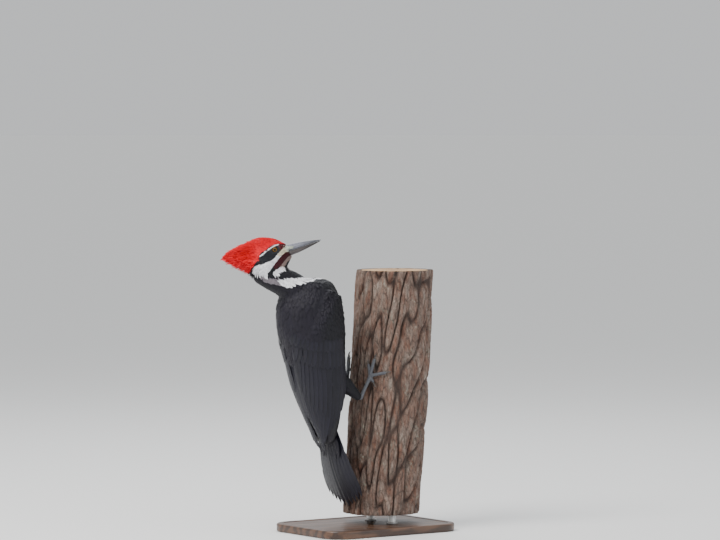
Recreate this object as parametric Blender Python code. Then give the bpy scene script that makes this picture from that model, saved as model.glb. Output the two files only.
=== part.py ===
"""A life-size male pileated woodpecker, clinging to a cut length of trunk on a plain display stand.

The bird's belly faces +X, towards the log, and its left side is at +Y. Its head is turned to its right.
Lengths are in millimetres until they reach a mesh. "Out" is the distance from the log's near face, towards -X.
"""

import math

import bmesh
import bpy
import numpy as np
from mathutils import Matrix, Vector

MM = 0.001
GAP = 0.35  # between neighbouring solids

# The stand and the log. The origin is under the middle of the base.
BASE_SIZE = (236, 176, 12)
BASE_CORNER = 34
ROD_RADIUS, ROD_LENGTH, ROD_SPACING = 6, 14, 56
LOG_RADIUS = 60
LOG_BOTTOM = BASE_SIZE[2] + ROD_LENGTH
LOG_TOP = 392
LOG_FACE_X = -12
LOG_LEAN = 1 / 15  # how far it leans away from the bird with height
LOG_NEAREST = 5  # "out" of its near face at the feet

# The trunk with its coat: (out, height, half depth, half width), from the shoulders to the rump.
TRUNK = [
    (87, 384.5, 0, 0),
    (88.5, 377.5, 31.5, 31),
    (90, 363, 42, 41),
    (90, 340, 50.5, 48.5),
    (88, 310, 52, 48.5),
    (80, 268, 46, 43),
    (72, 232, 40.5, 38),
    (67, 200, 32, 30),
    (64, 178, 22, 23),
    (60, 160, 12, 17),
    (57, 149, 0, 0),
]
# The folded wings' outer surface, down to the primary tips.
WING_SHELL = [
    (88, 382, 0, 0),
    (90.5, 371, 40, 43),
    (91.5, 350, 54, 54.5),
    (89.5, 325, 54.5, 54.5),
    (84, 290, 50.5, 52),
    (77, 255, 46.5, 48),
    (71, 222, 42.5, 45),
    (67, 196, 35.5, 38),
    (64, 174, 28, 33),
    (63, 150, 15, 28),
    (62.5, 134, 8.5, 25),
    (62, 123, 0, 0),
]
# Side outline of a folded wing, (out, height): mantle edge, leading edge with the bend of the wing, and tip.
WING_OUTLINE = [
    (160, 264),
    (141, 266),
    (122, 300),
    (104, 336),
    (90, 362),
    (76, 368),
    (63, 358),
    (56, 330),
    (52, 290),
    (51, 245),
    (50, 200),
    (52, 150),
    (58, 118),
    (160, 118),
]
NECK = [  # (out, left of the middle, height, radius across the bend, radius sideways)
    (164.5, 14, 406, 23.5, 17.5),
    (160, 13.5, 398, 24.5, 18.5),
    (152.5, 12, 391, 22.5, 19.5),
    (137, 8, 381, 21, 22),
    (120, 4, 371, 22.5, 26),
    (103, 0, 352, 27, 32),
    (93, 0, 325, 30, 34),
]

# The head's own frame: origin between the eyes, p towards the bill, q up, r to the bird's left.
HEAD_TURN = math.radians(35)
HEAD_LIFT = math.radians(17)
EYES_OUT, EYES_LEFT, EYES_HEIGHT = 142.2, 14, 427
HEAD = [  # (p, top, bottom, half width)
    (25, -6, -12, 4),
    (21, -0.5, -18, 8),
    (15, 5, -24, 12),
    (5, 14.5, -34, 16.2),
    (-8, 20.8, -40, 18.2),
    (-21, 24.2, -39, 18.2),
    (-34, 23.2, -33.5, 16),
    (-44, 21.8, -28, 12.8),
    (-52, 20.4, -20.5, 10.2),
    (-60, 18.9, -13, 7.6),
    (-71, 16.6, -2.3, 4.6),
    (-77, 12.5, 5, 1.8),
]
EYE_RADIUS = 5.2
EYE_SIDE = 12.6  # from the head's middle plane to an eyeball's centre
CREST_CUT = ((-22, 28), (-50, -26))  # (p, q) of the crown and nape ends of the cut
THROAT_CUT = ((-46, -27), (12, -33))  # (p, q) of the nape and throat ends of the cut
NECK_CUT = ((146.5, 361), (97, 385.5))  # (out, height) of the nape and chest ends of the cut

# Bill: (p, half width, height of the ridge above the gape, depth of the lower half)
BILL = [
    (14, 7.6, 9.6, 6.8),
    (22, 7.2, 9.2, 6.9),
    (32, 6.2, 8.2, 6.5),
    (44, 4.8, 6.5, 5.0),
    (56, 3.3, 4.3, 3.1),
    (64, 2.1, 2.5, 1.6),
    (69, 1.1, 0.9, 0.5),
]
GAPE_ROOT, GAPE_TIP = (14, -9.0), (69, -7.2)
LOWER_SHORTER = 1.6  # the lower half ends this far before the tip of the upper one

# Tail: a fan of stiff feathers bent towards the log.
TAIL_ROOT = (64, 184)
TAIL_LEAN = [(0, 8), (0.45, 13), (0.75, 24), (1, 29)]  # (share of the length, degrees from upright)
TAIL_LENGTH = 152
TAIL_HALF_WIDTH = [(0, 15), (0.25, 21), (0.6, 36), (1, 53)]
TAIL_FEATHERS = 10
TAIL_STEP = 0.16  # how much shorter the outermost feathers are
TAIL_NOTCH = 0.045
TAIL_HOLLOW = 5  # how far its edges curl towards the log
TAIL_THICKNESS = [(0, 8), (0.35, 5), (1, 2.4)]

# Legs, for the left side: (out, left, height, radius)
THIGH = [(60, 13, 245, 14), (46, 17.5, 230, 12.8), (35, 23, 218, 10.4), (25, 26.5, 209, 7.2), (19, 28, 203, 5)]
SHANK = [(17.2, 28, 201.5, 3.4), (12, 28, 211, 2.7), (6, 28.5, 223, 2.6), (0.2, 29, 233, 3.1)]
FOOT_ANGLE, FOOT_HEIGHT = math.radians(28), 236
TOES = [  # (name, degrees from straight up, positive outwards, length, radius)
    ("inner", -14, 18, 2.2),
    ("middle", 12, 26, 2.5),
    ("outer", 78, 24, 2.4),
    ("hind", 152, 12, 2.0),
]
CLAW_LENGTH, CLAW_RADIUS = 9.5, 1.75

# How finely the grown-together shapes are made: voxel size, rounds of smoothing and final triangles
FLESH_VOXEL, FLESH_SMOOTHING, FLESH_TRIANGLES = 1.5, 9, 1850
FOOT_VOXEL, FOOT_SMOOTHING, FOOT_TRIANGLES = 0.7, 3, 330
WING_SLICES, WING_AROUND, WING_CUTTER_TRIANGLES = 15, 26, 500

COLOURS = {  # base colour and roughness of each material
    "feather_black": ((0.022, 0.021, 0.026), 0.55),
    "feather_red": ((0.66, 0.015, 0.018), 0.6),
    "bill": ((0.12, 0.125, 0.13), 0.4),
    "eye": ((0.75, 0.62, 0.16), 0.08),
    "foot": ((0.06, 0.062, 0.065), 0.6),
    "claw": ((0.05, 0.045, 0.04), 0.35),
    "bark": ((0.17, 0.11, 0.075), 0.9),
    "base": ((0.035, 0.03, 0.027), 0.45),
    "rod": ((0.5, 0.5, 0.5), 0.3),
}
METALS = {"rod"}


def clear_scene():
    for obj in list(bpy.data.objects):
        bpy.data.objects.remove(obj)


def place(out, left, height):
    return Vector((LOG_FACE_X - out, left, height)) * MM


def curve_through(keys, values, wanted):
    """A smooth curve through the given values that never overshoots them."""
    keys, values, wanted = (np.asarray(a, float) for a in (keys, values, wanted))
    if keys[0] > keys[-1]:
        keys, values = keys[::-1], values[::-1]
    step = np.diff(keys)
    slope = np.diff(values) / step
    tangent = np.empty(len(keys))
    tangent[0], tangent[-1] = slope[0], slope[-1]
    turns = slope[:-1] * slope[1:] <= 0
    mean = 2 * slope[:-1] * slope[1:] / np.where(turns, 1, slope[:-1] + slope[1:])
    tangent[1:-1] = np.where(turns, 0, mean)
    i = np.clip(np.searchsorted(keys, wanted) - 1, 0, len(step) - 1)
    t = np.clip((wanted - keys[i]) / step[i], 0, 1)
    return (
        values[i] * (1 + 2 * t) * (1 - t) ** 2
        + step[i] * tangent[i] * t * (1 - t) ** 2
        + values[i + 1] * t * t * (3 - 2 * t)
        - step[i] * tangent[i + 1] * t * t * (1 - t)
    )


def read_table(table, wanted):
    """One smooth row for each wanted value of a table's first column."""
    columns = np.array(table, float).T
    return [curve_through(columns[0], column, wanted) for column in columns[1:]]


def even_steps(start, end, count):
    """Values from start to end that crowd towards both, as a dome's slices do."""
    turn = np.linspace(0, math.pi, count)
    return start + (end - start) * (1 - np.cos(turn)) / 2


def make_object(name, vertices, faces, material=None):
    mesh = bpy.data.meshes.new(name)
    mesh.from_pydata([tuple(v) for v in vertices], [], faces)
    obj = bpy.data.objects.new(name, mesh)
    bpy.context.scene.collection.objects.link(obj)
    if material:
        obj.data.materials.append(material)
    face_outwards(obj)
    return obj


def face_outwards(obj):
    bm = bmesh.new()
    bm.from_mesh(obj.data)
    bmesh.ops.recalc_face_normals(bm, faces=bm.faces)
    if bm.calc_volume(signed=True) < 0:
        bmesh.ops.reverse_faces(bm, faces=bm.faces)
    bm.to_mesh(obj.data)
    bm.free()


def loft(name, rings, material=None):
    """A closed skin over equal rings of points. A ring of one point is a pole; other ends get a flat cap."""
    vertices, starts = [], []
    for points in rings:
        starts.append(len(vertices))
        vertices.extend(points)
    count = max(len(points) for points in rings)
    faces = []
    for (start, end), (points, after) in zip(zip(starts, starts[1:]), zip(rings, rings[1:])):
        for i in range(count):
            j = (i + 1) % count
            if len(points) == 1:
                faces.append((start, end + i, end + j))
            elif len(after) == 1:
                faces.append((start + i, end, start + j))
            else:
                faces.append((start + i, end + i, end + j, start + j))
    for points, start in ((rings[0], starts[0]), (rings[-1], starts[-1])):
        if len(points) > 1:
            faces.append(tuple(range(start, start + count)))
    return make_object(name, vertices, faces, material)


def oval(centre, across, along, half_across, half_along, count):
    turns = [2 * math.pi * i / count for i in range(count)]
    return [centre + across * half_across * math.cos(a) + along * half_along * math.sin(a) for a in turns]


def upright_loft(name, table, slices, count, material=None):
    """A loft of level ovals. Radii are read as squares, which keeps the domes at both ends round."""
    outs, heights, depths, widths = np.array(table, float).T
    wanted = even_steps(heights[0], heights[-1], slices)
    centre = curve_through(heights, outs, wanted)
    depth = np.sqrt(curve_through(heights, depths**2, wanted))
    width = np.sqrt(curve_through(heights, widths**2, wanted))
    rings = []
    for x, z, a, b in zip(centre, wanted, depth, width):
        middle = place(x, 0, z)
        pole = a < 0.5
        rings.append([middle] if pole else oval(middle, Vector((MM, 0, 0)), Vector((0, MM, 0)), a, b, count))
    return loft(name, rings, material)


def tube(name, points, radii, count, material=None, tips=(True, True)):
    """A loft along a path. radii holds one radius, or (across the bend, sideways), for each point."""
    rings = []
    sideways = Vector((0, 1, 0))
    for i, point in enumerate(points):
        tangent = (points[min(i + 1, len(points) - 1)] - points[max(i - 1, 0)]).normalized()
        side = (sideways - tangent * sideways.dot(tangent)).normalized()
        across = side.cross(tangent)
        radius, beside = radii[i] if hasattr(radii[i], "__len__") else (radii[i], radii[i])
        rings.append(oval(point, across, side, radius * MM, beside * MM, count))
    if tips[0]:
        rings.insert(0, [points[0] + (points[0] - points[1]).normalized() * np.min(radii[0]) * 0.6 * MM])
    if tips[1]:
        rings.append([points[-1] + (points[-1] - points[-2]).normalized() * np.min(radii[-1]) * 0.6 * MM])
    return loft(name, rings, material)


def apply_modifiers(obj):
    graph = bpy.context.evaluated_depsgraph_get()
    mesh = bpy.data.meshes.new_from_object(obj.evaluated_get(graph))
    obj.modifiers.clear()
    obj.data = mesh
    return obj


def boolean(obj, other, operation, keep_other=False):
    modifier = obj.modifiers.new(operation, "BOOLEAN")
    modifier.operation = operation
    modifier.solver = "EXACT"
    modifier.object = other
    apply_modifiers(obj)
    if not keep_other:
        bpy.data.objects.remove(other)
    return obj


def inflated(obj, distance):
    """A copy whose surface lies that far outside the original, to cut clearance into a neighbour."""
    copy = bpy.data.objects.new(obj.name + "_cutter", obj.data.copy())
    bpy.context.scene.collection.objects.link(copy)
    normals = [vertex.normal.copy() for vertex in copy.data.vertices]
    for vertex, normal in zip(copy.data.vertices, normals):
        vertex.co += normal * distance * MM
    return copy


def clear_of(obj, *others, distance=GAP):
    for other in others:
        boolean(obj, inflated(other, distance), "DIFFERENCE")
    return obj


def joined(name, objects):
    """One object that holds all of these, as they are."""
    bm = bmesh.new()
    for obj in objects:
        bm.from_mesh(obj.data)
        bpy.data.objects.remove(obj)
    mesh = bpy.data.meshes.new(name)
    bm.to_mesh(mesh)
    bm.free()
    obj = bpy.data.objects.new(name, mesh)
    bpy.context.scene.collection.objects.link(obj)
    return obj


def simplified(obj, triangles):
    obj.data.calc_loop_triangles()
    decimate = obj.modifiers.new("Decimate", "DECIMATE")
    decimate.ratio = min(1, triangles / len(obj.data.loop_triangles))
    return apply_modifiers(obj)


def grown_together(obj, voxel, smoothing, triangles):
    """Overlapping shapes become one smooth skin of about that many triangles."""
    remesh = obj.modifiers.new("Remesh", "REMESH")
    remesh.mode = "VOXEL"
    remesh.voxel_size = voxel * MM
    smooth = obj.modifiers.new("Smooth", "SMOOTH")
    smooth.factor = 0.5
    smooth.iterations = smoothing
    return simplified(apply_modifiers(obj), triangles)


def part_behind(obj, name, point, normal, material=None):
    """The part of obj on the side that normal points to, capped, half a gap from the cut."""
    bm = bmesh.new()
    bm.from_mesh(obj.data)
    cut = bmesh.ops.bisect_plane(
        bm,
        geom=bm.verts[:] + bm.edges[:] + bm.faces[:],
        plane_co=point + normal * (GAP / 2 * MM),
        plane_no=normal,
        clear_inner=True,
    )
    edges = [e for e in cut["geom_cut"] if isinstance(e, bmesh.types.BMEdge)]
    bmesh.ops.holes_fill(bm, edges=edges, sides=0)
    mesh = bpy.data.meshes.new(name)
    bm.to_mesh(mesh)
    bm.free()
    part = bpy.data.objects.new(name, mesh)
    bpy.context.scene.collection.objects.link(part)
    part.data.materials.clear()
    if material:
        part.data.materials.append(material)
    face_outwards(part)
    return part


def mirrored(obj, name):
    """The same piece on the bird's other side."""
    mesh = obj.data.copy()
    mesh.transform(Matrix.Scale(-1, 4, Vector((0, 1, 0))))
    mesh.flip_normals()
    copy = bpy.data.objects.new(name, mesh)
    bpy.context.scene.collection.objects.link(copy)
    return copy


def finish(obj, name, material):
    obj.name = name
    obj.data.name = name
    obj.data.materials.clear()
    obj.data.materials.append(material)
    obj.data.shade_smooth()
    obj.data.set_sharp_from_angle(angle=math.radians(40))
    return obj


def make_materials():
    made = {}
    for name, (colour, roughness) in COLOURS.items():
        material = bpy.data.materials.new(name)
        material.use_nodes = True
        shader = material.node_tree.nodes["Principled BSDF"]
        shader.inputs["Base Color"].default_value = (*colour, 1)
        shader.inputs["Roughness"].default_value = roughness
        shader.inputs["Metallic"].default_value = float(name in METALS)
        material.diffuse_color = (*colour, 1)
        made[name] = material
    return made


# Head frame


def head_axes():
    right = Vector((math.cos(HEAD_TURN), -math.sin(HEAD_TURN), 0))
    up = Vector((0, 0, 1))
    p = right * math.cos(HEAD_LIFT) + up * math.sin(HEAD_LIFT)
    q = up * math.cos(HEAD_LIFT) - right * math.sin(HEAD_LIFT)
    return p, q, q.cross(p)


def head_place(p, q, r=0.0):
    forward, up, left = head_axes()
    return place(EYES_OUT, EYES_LEFT, EYES_HEIGHT) + (forward * p + up * q + left * r) * MM


def head_cut(ends):
    """A point on a cut across the head's side view and its normal, 90 degrees to the left of first-to-second."""
    first, second = (head_place(*end) for end in ends)
    return first, (second - first).cross(head_axes()[2]).normalized()


# The bird


def head_loft():
    forward, up, left = head_axes()
    wanted = even_steps(HEAD[0][0], HEAD[-1][0], 34)
    top, bottom, width = read_table(HEAD, wanted)
    rings = []
    for p, high, low, half in zip(wanted, top, bottom, width):
        centre = head_place(p, (high + low) / 2)
        rings.append(oval(centre, left, up, half * MM, (high - low) / 2 * MM, 32))
    return loft("head_form", rings)


def neck_loft():
    steps = np.arange(len(NECK))
    wanted = np.linspace(0, len(NECK) - 1, 22)
    out, left, height, radius, beside = (curve_through(steps, column, wanted) for column in np.array(NECK, float).T)
    points = [place(*values) for values in zip(out, left, height)]
    return tube("neck_form", points, list(zip(radius, beside)), 32)


def make_flesh(materials):
    """Head, neck and trunk grown together, then parted with thin slanted cuts."""
    body = joined("flesh", [head_loft(), neck_loft(), upright_loft("trunk_form", TRUNK, 30, 40)])
    grown_together(body, FLESH_VOXEL, FLESH_SMOOTHING, FLESH_TRIANGLES)
    crest_point, crest_back = head_cut(CREST_CUT)
    throat_point, throat_down = head_cut(THROAT_CUT)
    neck_point, neck_end = (place(out, 0, height) for out, height in NECK_CUT)
    neck_down = (neck_end - neck_point).cross(Vector((0, 1, 0))).normalized()
    if neck_down.z > 0:
        neck_down.negate()
    if throat_down.z > 0:
        throat_down.negate()
    if crest_back.dot(head_axes()[0]) > 0:
        crest_back.negate()
    crest = part_behind(body, "crest", crest_point, crest_back)
    rest = part_behind(body, "rest", crest_point, -crest_back)
    head = part_behind(rest, "head", throat_point, -throat_down)
    lower = part_behind(rest, "lower", throat_point, throat_down)
    neck = part_behind(lower, "neck", neck_point, -neck_down)
    trunk = part_behind(lower, "trunk", neck_point, neck_down)
    for obj in (body, rest, lower):
        bpy.data.objects.remove(obj)
    finish(crest, "crest", materials["feather_red"])
    for obj, name in ((head, "head"), (neck, "neck"), (trunk, "trunk")):
        finish(obj, name, materials["feather_black"])
    return head, crest, neck, trunk


def make_bill(materials):
    """Two halves that meet along the gape. Each is a rounded wedge, ridged on its outer side."""
    forward, up, left = head_axes()
    halves = []
    for name, sign, shorter in (("bill_upper", 1, 0), ("bill_lower", -1, LOWER_SHORTER)):
        wanted = np.linspace(BILL[0][0], BILL[-1][0] - shorter, 12)
        width, ridge, depth = read_table(BILL, wanted)
        share = (wanted - GAPE_ROOT[0]) / (GAPE_TIP[0] - GAPE_ROOT[0])
        gape = GAPE_ROOT[1] + (GAPE_TIP[1] - GAPE_ROOT[1]) * share
        rings = []
        for p, q, half, tall in zip(wanted, gape, width, ridge if sign > 0 else depth):
            edge = head_place(p, q + sign * GAP / 2)
            section = []
            for i in range(9):
                turn = math.pi * i / 8
                side = math.copysign(abs(math.cos(turn)) ** 1.15, math.cos(turn))
                section.append(edge + left * side * half * MM + up * sign * math.sin(turn) ** 0.9 * tall * MM)
            rings.append(section)
        halves.append(finish(loft(name, rings), name, materials["bill"]))
    return halves


def make_eye(name, side, materials):
    bpy.ops.mesh.primitive_uv_sphere_add(segments=14, ring_count=8, radius=EYE_RADIUS * MM)
    eye = bpy.context.object
    eye.data.transform(Matrix.Translation(head_place(0, 0, side * EYE_SIDE)))
    return finish(eye, name, materials["eye"])


def extruded_outline(name, outline, near, far):
    """A prism over a side outline, from one distance left of the middle to another."""
    rings = [[place(out, left, height) for out, height in outline] for left in (near, far)]
    return loft(name, rings)


def make_wing(trunk, neck, tail, materials):
    """The bird's left wing: the shell between the wings' outer surface and the trunk, inside the wing's outline."""
    wing = upright_loft("wing_shell", WING_SHELL, WING_SLICES, WING_AROUND)
    boolean(wing, extruded_outline("wing_prism", WING_OUTLINE, GAP / 2, 80), "INTERSECT")
    clear_of(wing, neck, tail)
    boolean(wing, simplified(inflated(trunk, 3 * GAP), WING_CUTTER_TRIANGLES), "DIFFERENCE")
    return finish(keep_largest(wing), "wing_left", materials["feather_black"])


def keep_largest(obj):
    """Drops crumbs that a cut has left beside the main piece."""
    bm = bmesh.new()
    bm.from_mesh(obj.data)
    bmesh.ops.remove_doubles(bm, verts=bm.verts, dist=0.02 * MM)
    islands, seen = [], set()
    for seed in bm.verts:
        if seed in seen:
            continue
        island, todo = [], [seed]
        seen.add(seed)
        while todo:
            vertex = todo.pop()
            island.append(vertex)
            for edge in vertex.link_edges:
                other = edge.other_vert(vertex)
                if other not in seen:
                    seen.add(other)
                    todo.append(other)
        islands.append(island)
    islands.sort(key=len)
    bmesh.ops.delete(bm, geom=[v for island in islands[:-1] for v in island], context="VERTS")
    bm.to_mesh(obj.data)
    bm.free()
    return obj


def tail_line(steps):
    """Centre line of the tail as (out, height, lean), from its root to its tip."""
    shares = np.linspace(0, 1, steps)
    lean = np.radians(read_table(TAIL_LEAN, shares)[0])
    stride = TAIL_LENGTH / (steps - 1)
    out, height = TAIL_ROOT
    line = []
    for angle in lean:
        line.append((out, height, angle))
        out -= math.sin(angle) * stride
        height -= math.cos(angle) * stride
    return line


def tail_end(across):
    """How much of the full length the tail has at this place across it, from -1 to 1."""
    place_in_feather = abs(across) * TAIL_FEATHERS / 2 % 1
    notch = (abs(place_in_feather - 0.5) * 2) ** 1.3
    return 1 - TAIL_STEP * abs(across) ** 1.6 - TAIL_NOTCH * notch


def make_tail(materials, trunk):
    columns, rows, line_steps = 4 * TAIL_FEATHERS, 5, 200
    line = np.array(tail_line(line_steps))
    vertices = []
    for side in (1, -1):  # upper surface, then the one towards the log
        for i in range(columns + 1):
            across = 2 * i / columns - 1
            for j in range(rows + 1):
                share = j / rows * tail_end(across)
                out, height, lean = (np.interp(share * (line_steps - 1), range(line_steps), c) for c in line.T)
                half = read_table(TAIL_HALF_WIDTH, [share])[0][0]
                thickness = read_table(TAIL_THICKNESS, [share])[0][0] * (1 - 0.5 * abs(across) ** 3)
                inwards = TAIL_HOLLOW * across**2 * share - side * thickness / 2
                out -= math.cos(lean) * inwards
                height += math.sin(lean) * inwards
                vertices.append(place(out, across * half, height))
    layer = (columns + 1) * (rows + 1)
    faces = []
    for i in range(columns):
        for j in range(rows):
            a = i * (rows + 1) + j
            quad = (a, a + 1, a + rows + 2, a + rows + 1)
            faces += [quad, tuple(layer + v for v in reversed(quad))]
    rim = [i * (rows + 1) for i in range(columns + 1)]
    rim += [columns * (rows + 1) + j for j in range(1, rows + 1)]
    rim += [i * (rows + 1) + rows for i in range(columns - 1, -1, -1)]
    rim += [j for j in range(rows - 1, 0, -1)]
    for a, b in zip(rim, rim[1:] + rim[:1]):
        faces.append((a, b, layer + b, layer + a))
    tail = make_object("tail", vertices, faces)
    clear_of(tail, trunk)
    return finish(keep_largest(tail), "tail", materials["feather_black"])


# Legs and feet, for the left side


def bark_radius(turn, height):
    """The log's radius at an angle from the side that faces the bird, with its broad ridges."""
    turn = math.remainder(turn, 2 * math.pi)
    swell = 1.2 * math.sin(2 * turn + 0.6) + 0.9 * math.sin(height / 61 + turn)
    ridges = math.sin(11 * turn + 1.4 * math.sin(height / 47)) * math.sin(height / 83 + 2 * turn + 1)
    away_from_bird = 1 - math.exp(-((turn / 1.3) ** 8))
    return LOG_RADIUS - 1.2 + (swell + 1.9 * ridges) * away_from_bird


def log_axis_x(height):
    return LOG_FACE_X + LOG_RADIUS - LOG_NEAREST + (height - FOOT_HEIGHT) * LOG_LEAN


def on_bark(turn, height, lift):
    radius = bark_radius(turn, height) + lift
    return Vector((log_axis_x(height) - radius * math.cos(turn), radius * math.sin(turn), height)) * MM


def bark_path(degrees, start, end, lifts):
    """Points along the bark from the foot's middle, start to end away, at these heights above it."""
    heading = math.radians(degrees)
    points = []
    for share, lift in lifts:
        distance = start + (end - start) * share
        turn = FOOT_ANGLE + math.sin(heading) * distance / LOG_RADIUS
        points.append(on_bark(turn, FOOT_HEIGHT + math.cos(heading) * distance, lift))
    return points


def make_leg(trunk, materials):
    points = [place(*station[:3]) for station in THIGH]
    thigh = tube("thigh_left", points, [station[3] for station in THIGH], 16)
    shank_points = [place(*station[:3]) for station in SHANK]
    parts = [tube("shank", shank_points, [station[3] for station in SHANK], 12)]
    claws = []
    for name, degrees, length, radius in TOES:
        lifts = [(0, 3.4), (0.35, radius + 1.2), (0.7, radius + 0.9), (1, radius + 0.7)]
        toe = bark_path(degrees, 0, length, lifts)
        parts.append(tube("toe", toe, [radius * 1.25, radius, radius * 1.08, radius * 0.95], 10))
        arc = [(0, 2.2), (0.3, 3.2), (0.6, 3.1), (0.85, 1.9), (1, 0.75)]
        claw_points = bark_path(degrees, length - 0.8, length + CLAW_LENGTH * 0.8, arc)
        claw_radii = [CLAW_RADIUS, CLAW_RADIUS * 0.9, CLAW_RADIUS * 0.66, CLAW_RADIUS * 0.4, 0.3]
        claws.append(tube(f"claw_left_{name}", claw_points, claw_radii, 8, tips=(True, False)))
    foot = grown_together(joined("foot_left", parts), FOOT_VOXEL, FOOT_SMOOTHING, FOOT_TRIANGLES)
    for claw in claws:
        clear_of(foot, claw)
        finish(claw, claw.name, materials["claw"])
    clear_of(thigh, trunk)
    clear_of(keep_largest(thigh), foot)
    finish(keep_largest(thigh), "thigh_left", materials["feather_black"])
    finish(keep_largest(foot), "foot_left", materials["foot"])
    return [thigh, foot, *claws]


# The log and its stand


def make_log(materials):
    columns, rows = 40, 10
    rings = []
    for height in np.linspace(LOG_BOTTOM + GAP, LOG_TOP, rows):
        rings.append([on_bark(2 * math.pi * i / columns, height, 0) for i in range(columns)])
    return finish(loft("perch_log", rings), "perch_log", materials["bark"])


def make_stand(materials):
    length, width, height = (side * MM for side in BASE_SIZE)
    bpy.ops.mesh.primitive_cube_add(size=1)
    base = bpy.context.object
    base.data.transform(Matrix.Translation((0, 0, height / 2)) @ Matrix.Diagonal((length, width, height, 1)))
    bm = bmesh.new()
    bm.from_mesh(base.data)
    upright = [e for e in bm.edges if abs(e.verts[0].co.z - e.verts[1].co.z) > height / 2]
    bmesh.ops.bevel(bm, geom=upright, offset=BASE_CORNER * MM, segments=6, profile=0.5, affect="EDGES")
    rim = [e for e in bm.edges if all(v.co.z > height * 0.99 for v in e.verts)]
    bmesh.ops.bevel(bm, geom=rim, offset=1.6 * MM, segments=2, profile=0.5, affect="EDGES")
    bm.to_mesh(base.data)
    bm.free()
    finish(base, "stand_base", materials["base"])
    for number, side in enumerate((-1, 1), start=1):
        bpy.ops.mesh.primitive_cylinder_add(vertices=20, radius=ROD_RADIUS * MM, depth=(ROD_LENGTH - GAP) * MM)
        rod = bpy.context.object
        middle = (log_axis_x(LOG_BOTTOM) * MM, side * ROD_SPACING / 2 * MM, (BASE_SIZE[2] + GAP / 2 + ROD_LENGTH / 2) * MM)
        rod.data.transform(Matrix.Translation(middle))
        finish(rod, f"stand_rod_{number}", materials["rod"])


def main():
    clear_scene()
    materials = make_materials()
    head, crest, neck, trunk = make_flesh(materials)
    for half in make_bill(materials):
        clear_of(head, half)
    for name, side in (("eye_left", 1), ("eye_right", -1)):
        clear_of(head, make_eye(name, side, materials))
    finish(keep_largest(head), "head", materials["feather_black"])
    tail = make_tail(materials, trunk)
    wing = make_wing(trunk, neck, tail, materials)
    mirrored(wing, "wing_right")
    for piece in make_leg(trunk, materials):
        mirrored(piece, piece.name.replace("left", "right"))
    make_log(materials)
    make_stand(materials)


main()
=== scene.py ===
import math

import bmesh
import bpy
import numpy as np
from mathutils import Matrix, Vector
from mathutils.bvhtree import BVHTree
from mathutils.kdtree import KDTree

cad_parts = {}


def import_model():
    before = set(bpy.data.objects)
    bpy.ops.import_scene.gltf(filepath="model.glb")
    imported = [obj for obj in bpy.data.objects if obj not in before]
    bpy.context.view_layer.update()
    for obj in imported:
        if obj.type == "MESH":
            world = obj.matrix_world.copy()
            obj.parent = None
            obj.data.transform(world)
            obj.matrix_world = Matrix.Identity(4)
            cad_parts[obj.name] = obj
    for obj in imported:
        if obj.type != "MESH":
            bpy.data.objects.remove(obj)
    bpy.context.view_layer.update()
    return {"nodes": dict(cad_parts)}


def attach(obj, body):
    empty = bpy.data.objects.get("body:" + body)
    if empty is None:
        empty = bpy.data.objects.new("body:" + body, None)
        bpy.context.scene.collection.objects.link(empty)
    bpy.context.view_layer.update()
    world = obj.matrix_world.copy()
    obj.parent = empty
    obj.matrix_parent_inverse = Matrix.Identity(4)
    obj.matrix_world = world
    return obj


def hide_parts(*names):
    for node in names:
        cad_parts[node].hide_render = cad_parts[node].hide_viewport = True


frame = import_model()
nodes = frame["nodes"]
mm = 0.001
sides = ((1, "left"), (-1, "right"))

# Camera, light and floor

cameraPlan = {
    "azimuth": -35,
    "elevation": 2.5,
    "distance": 6,
    "lens": 200,
    "sensor": 36,
    "aim": (-10.7, -0.8, 393.1),  # millimetres
}

lightPlan = {  # name: (azimuth, elevation, distance, size, watts, colour)
    "key_light": (-80, 48, 2.4, 1.3, 62, (1, 0.985, 0.96)),
    "fill_light": (20, 20, 2.8, 2.2, 13, (0.94, 0.97, 1)),
    "back_light": (150, 55, 2.4, 1.4, 26, (0.95, 0.97, 1)),
}

roomPlan = {
    "floor": (0.8, 0.8, 0.79),
    "floor_radius": 60,
    "air": (0.86, 0.875, 0.89),
    "horizon": (0.03, 0.3),  # the air is dimmer low down, so that it meets the floor without a line
    "air_light": (0.78, 0.98),
    "lights_aim": (0, 0, 0.25),
}


def aimed(obj, aim, azimuth, elevation, distance):
    # puts an object on that side of a point, looking at it
    a, e = math.radians(azimuth), math.radians(elevation)
    way = Vector((math.sin(a) * math.cos(e), -math.cos(a) * math.cos(e), math.sin(e)))
    obj.location = Vector(aim) + way * distance
    obj.rotation_euler = (-way).to_track_quat("-Z", "Y").to_euler()
    return obj


def placeCamera():
    bpy.ops.object.camera_add()
    place = [cameraPlan[key] for key in ("azimuth", "elevation", "distance")]
    camera = aimed(bpy.context.object, Vector(cameraPlan["aim"]) * mm, *place)
    camera.data.lens = cameraPlan["lens"]
    camera.data.sensor_width = cameraPlan["sensor"]
    bpy.context.scene.camera = camera


def placeLights():
    for name, (azimuth, elevation, distance, size, watts, colour) in lightPlan.items():
        bpy.ops.object.light_add(type="AREA")
        light = aimed(bpy.context.object, roomPlan["lights_aim"], azimuth, elevation, distance)
        light.name = name
        light.data.shape = "DISK"
        light.data.size = size
        light.data.energy = watts
        light.data.color = colour


def placeAir():
    air = bpy.data.worlds.new("air")
    air.use_nodes = True
    tree = air.node_tree
    colour, light = tree.nodes["Background"].inputs[:2]
    colour.default_value = (*roomPlan["air"], 1)
    kinds = ("TexCoord", "SeparateXYZ", "MapRange")
    way, split, fade = (tree.nodes.new("ShaderNode" + kind) for kind in kinds)
    for socket, value in zip(list(fade.inputs)[1:5], (*roomPlan["horizon"], *roomPlan["air_light"])):
        socket.default_value = value
    tree.links.new(way.outputs["Generated"], split.inputs[0])
    tree.links.new(split.outputs[2], fade.inputs[0])
    tree.links.new(fade.outputs[0], light)
    bpy.context.scene.world = air


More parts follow.
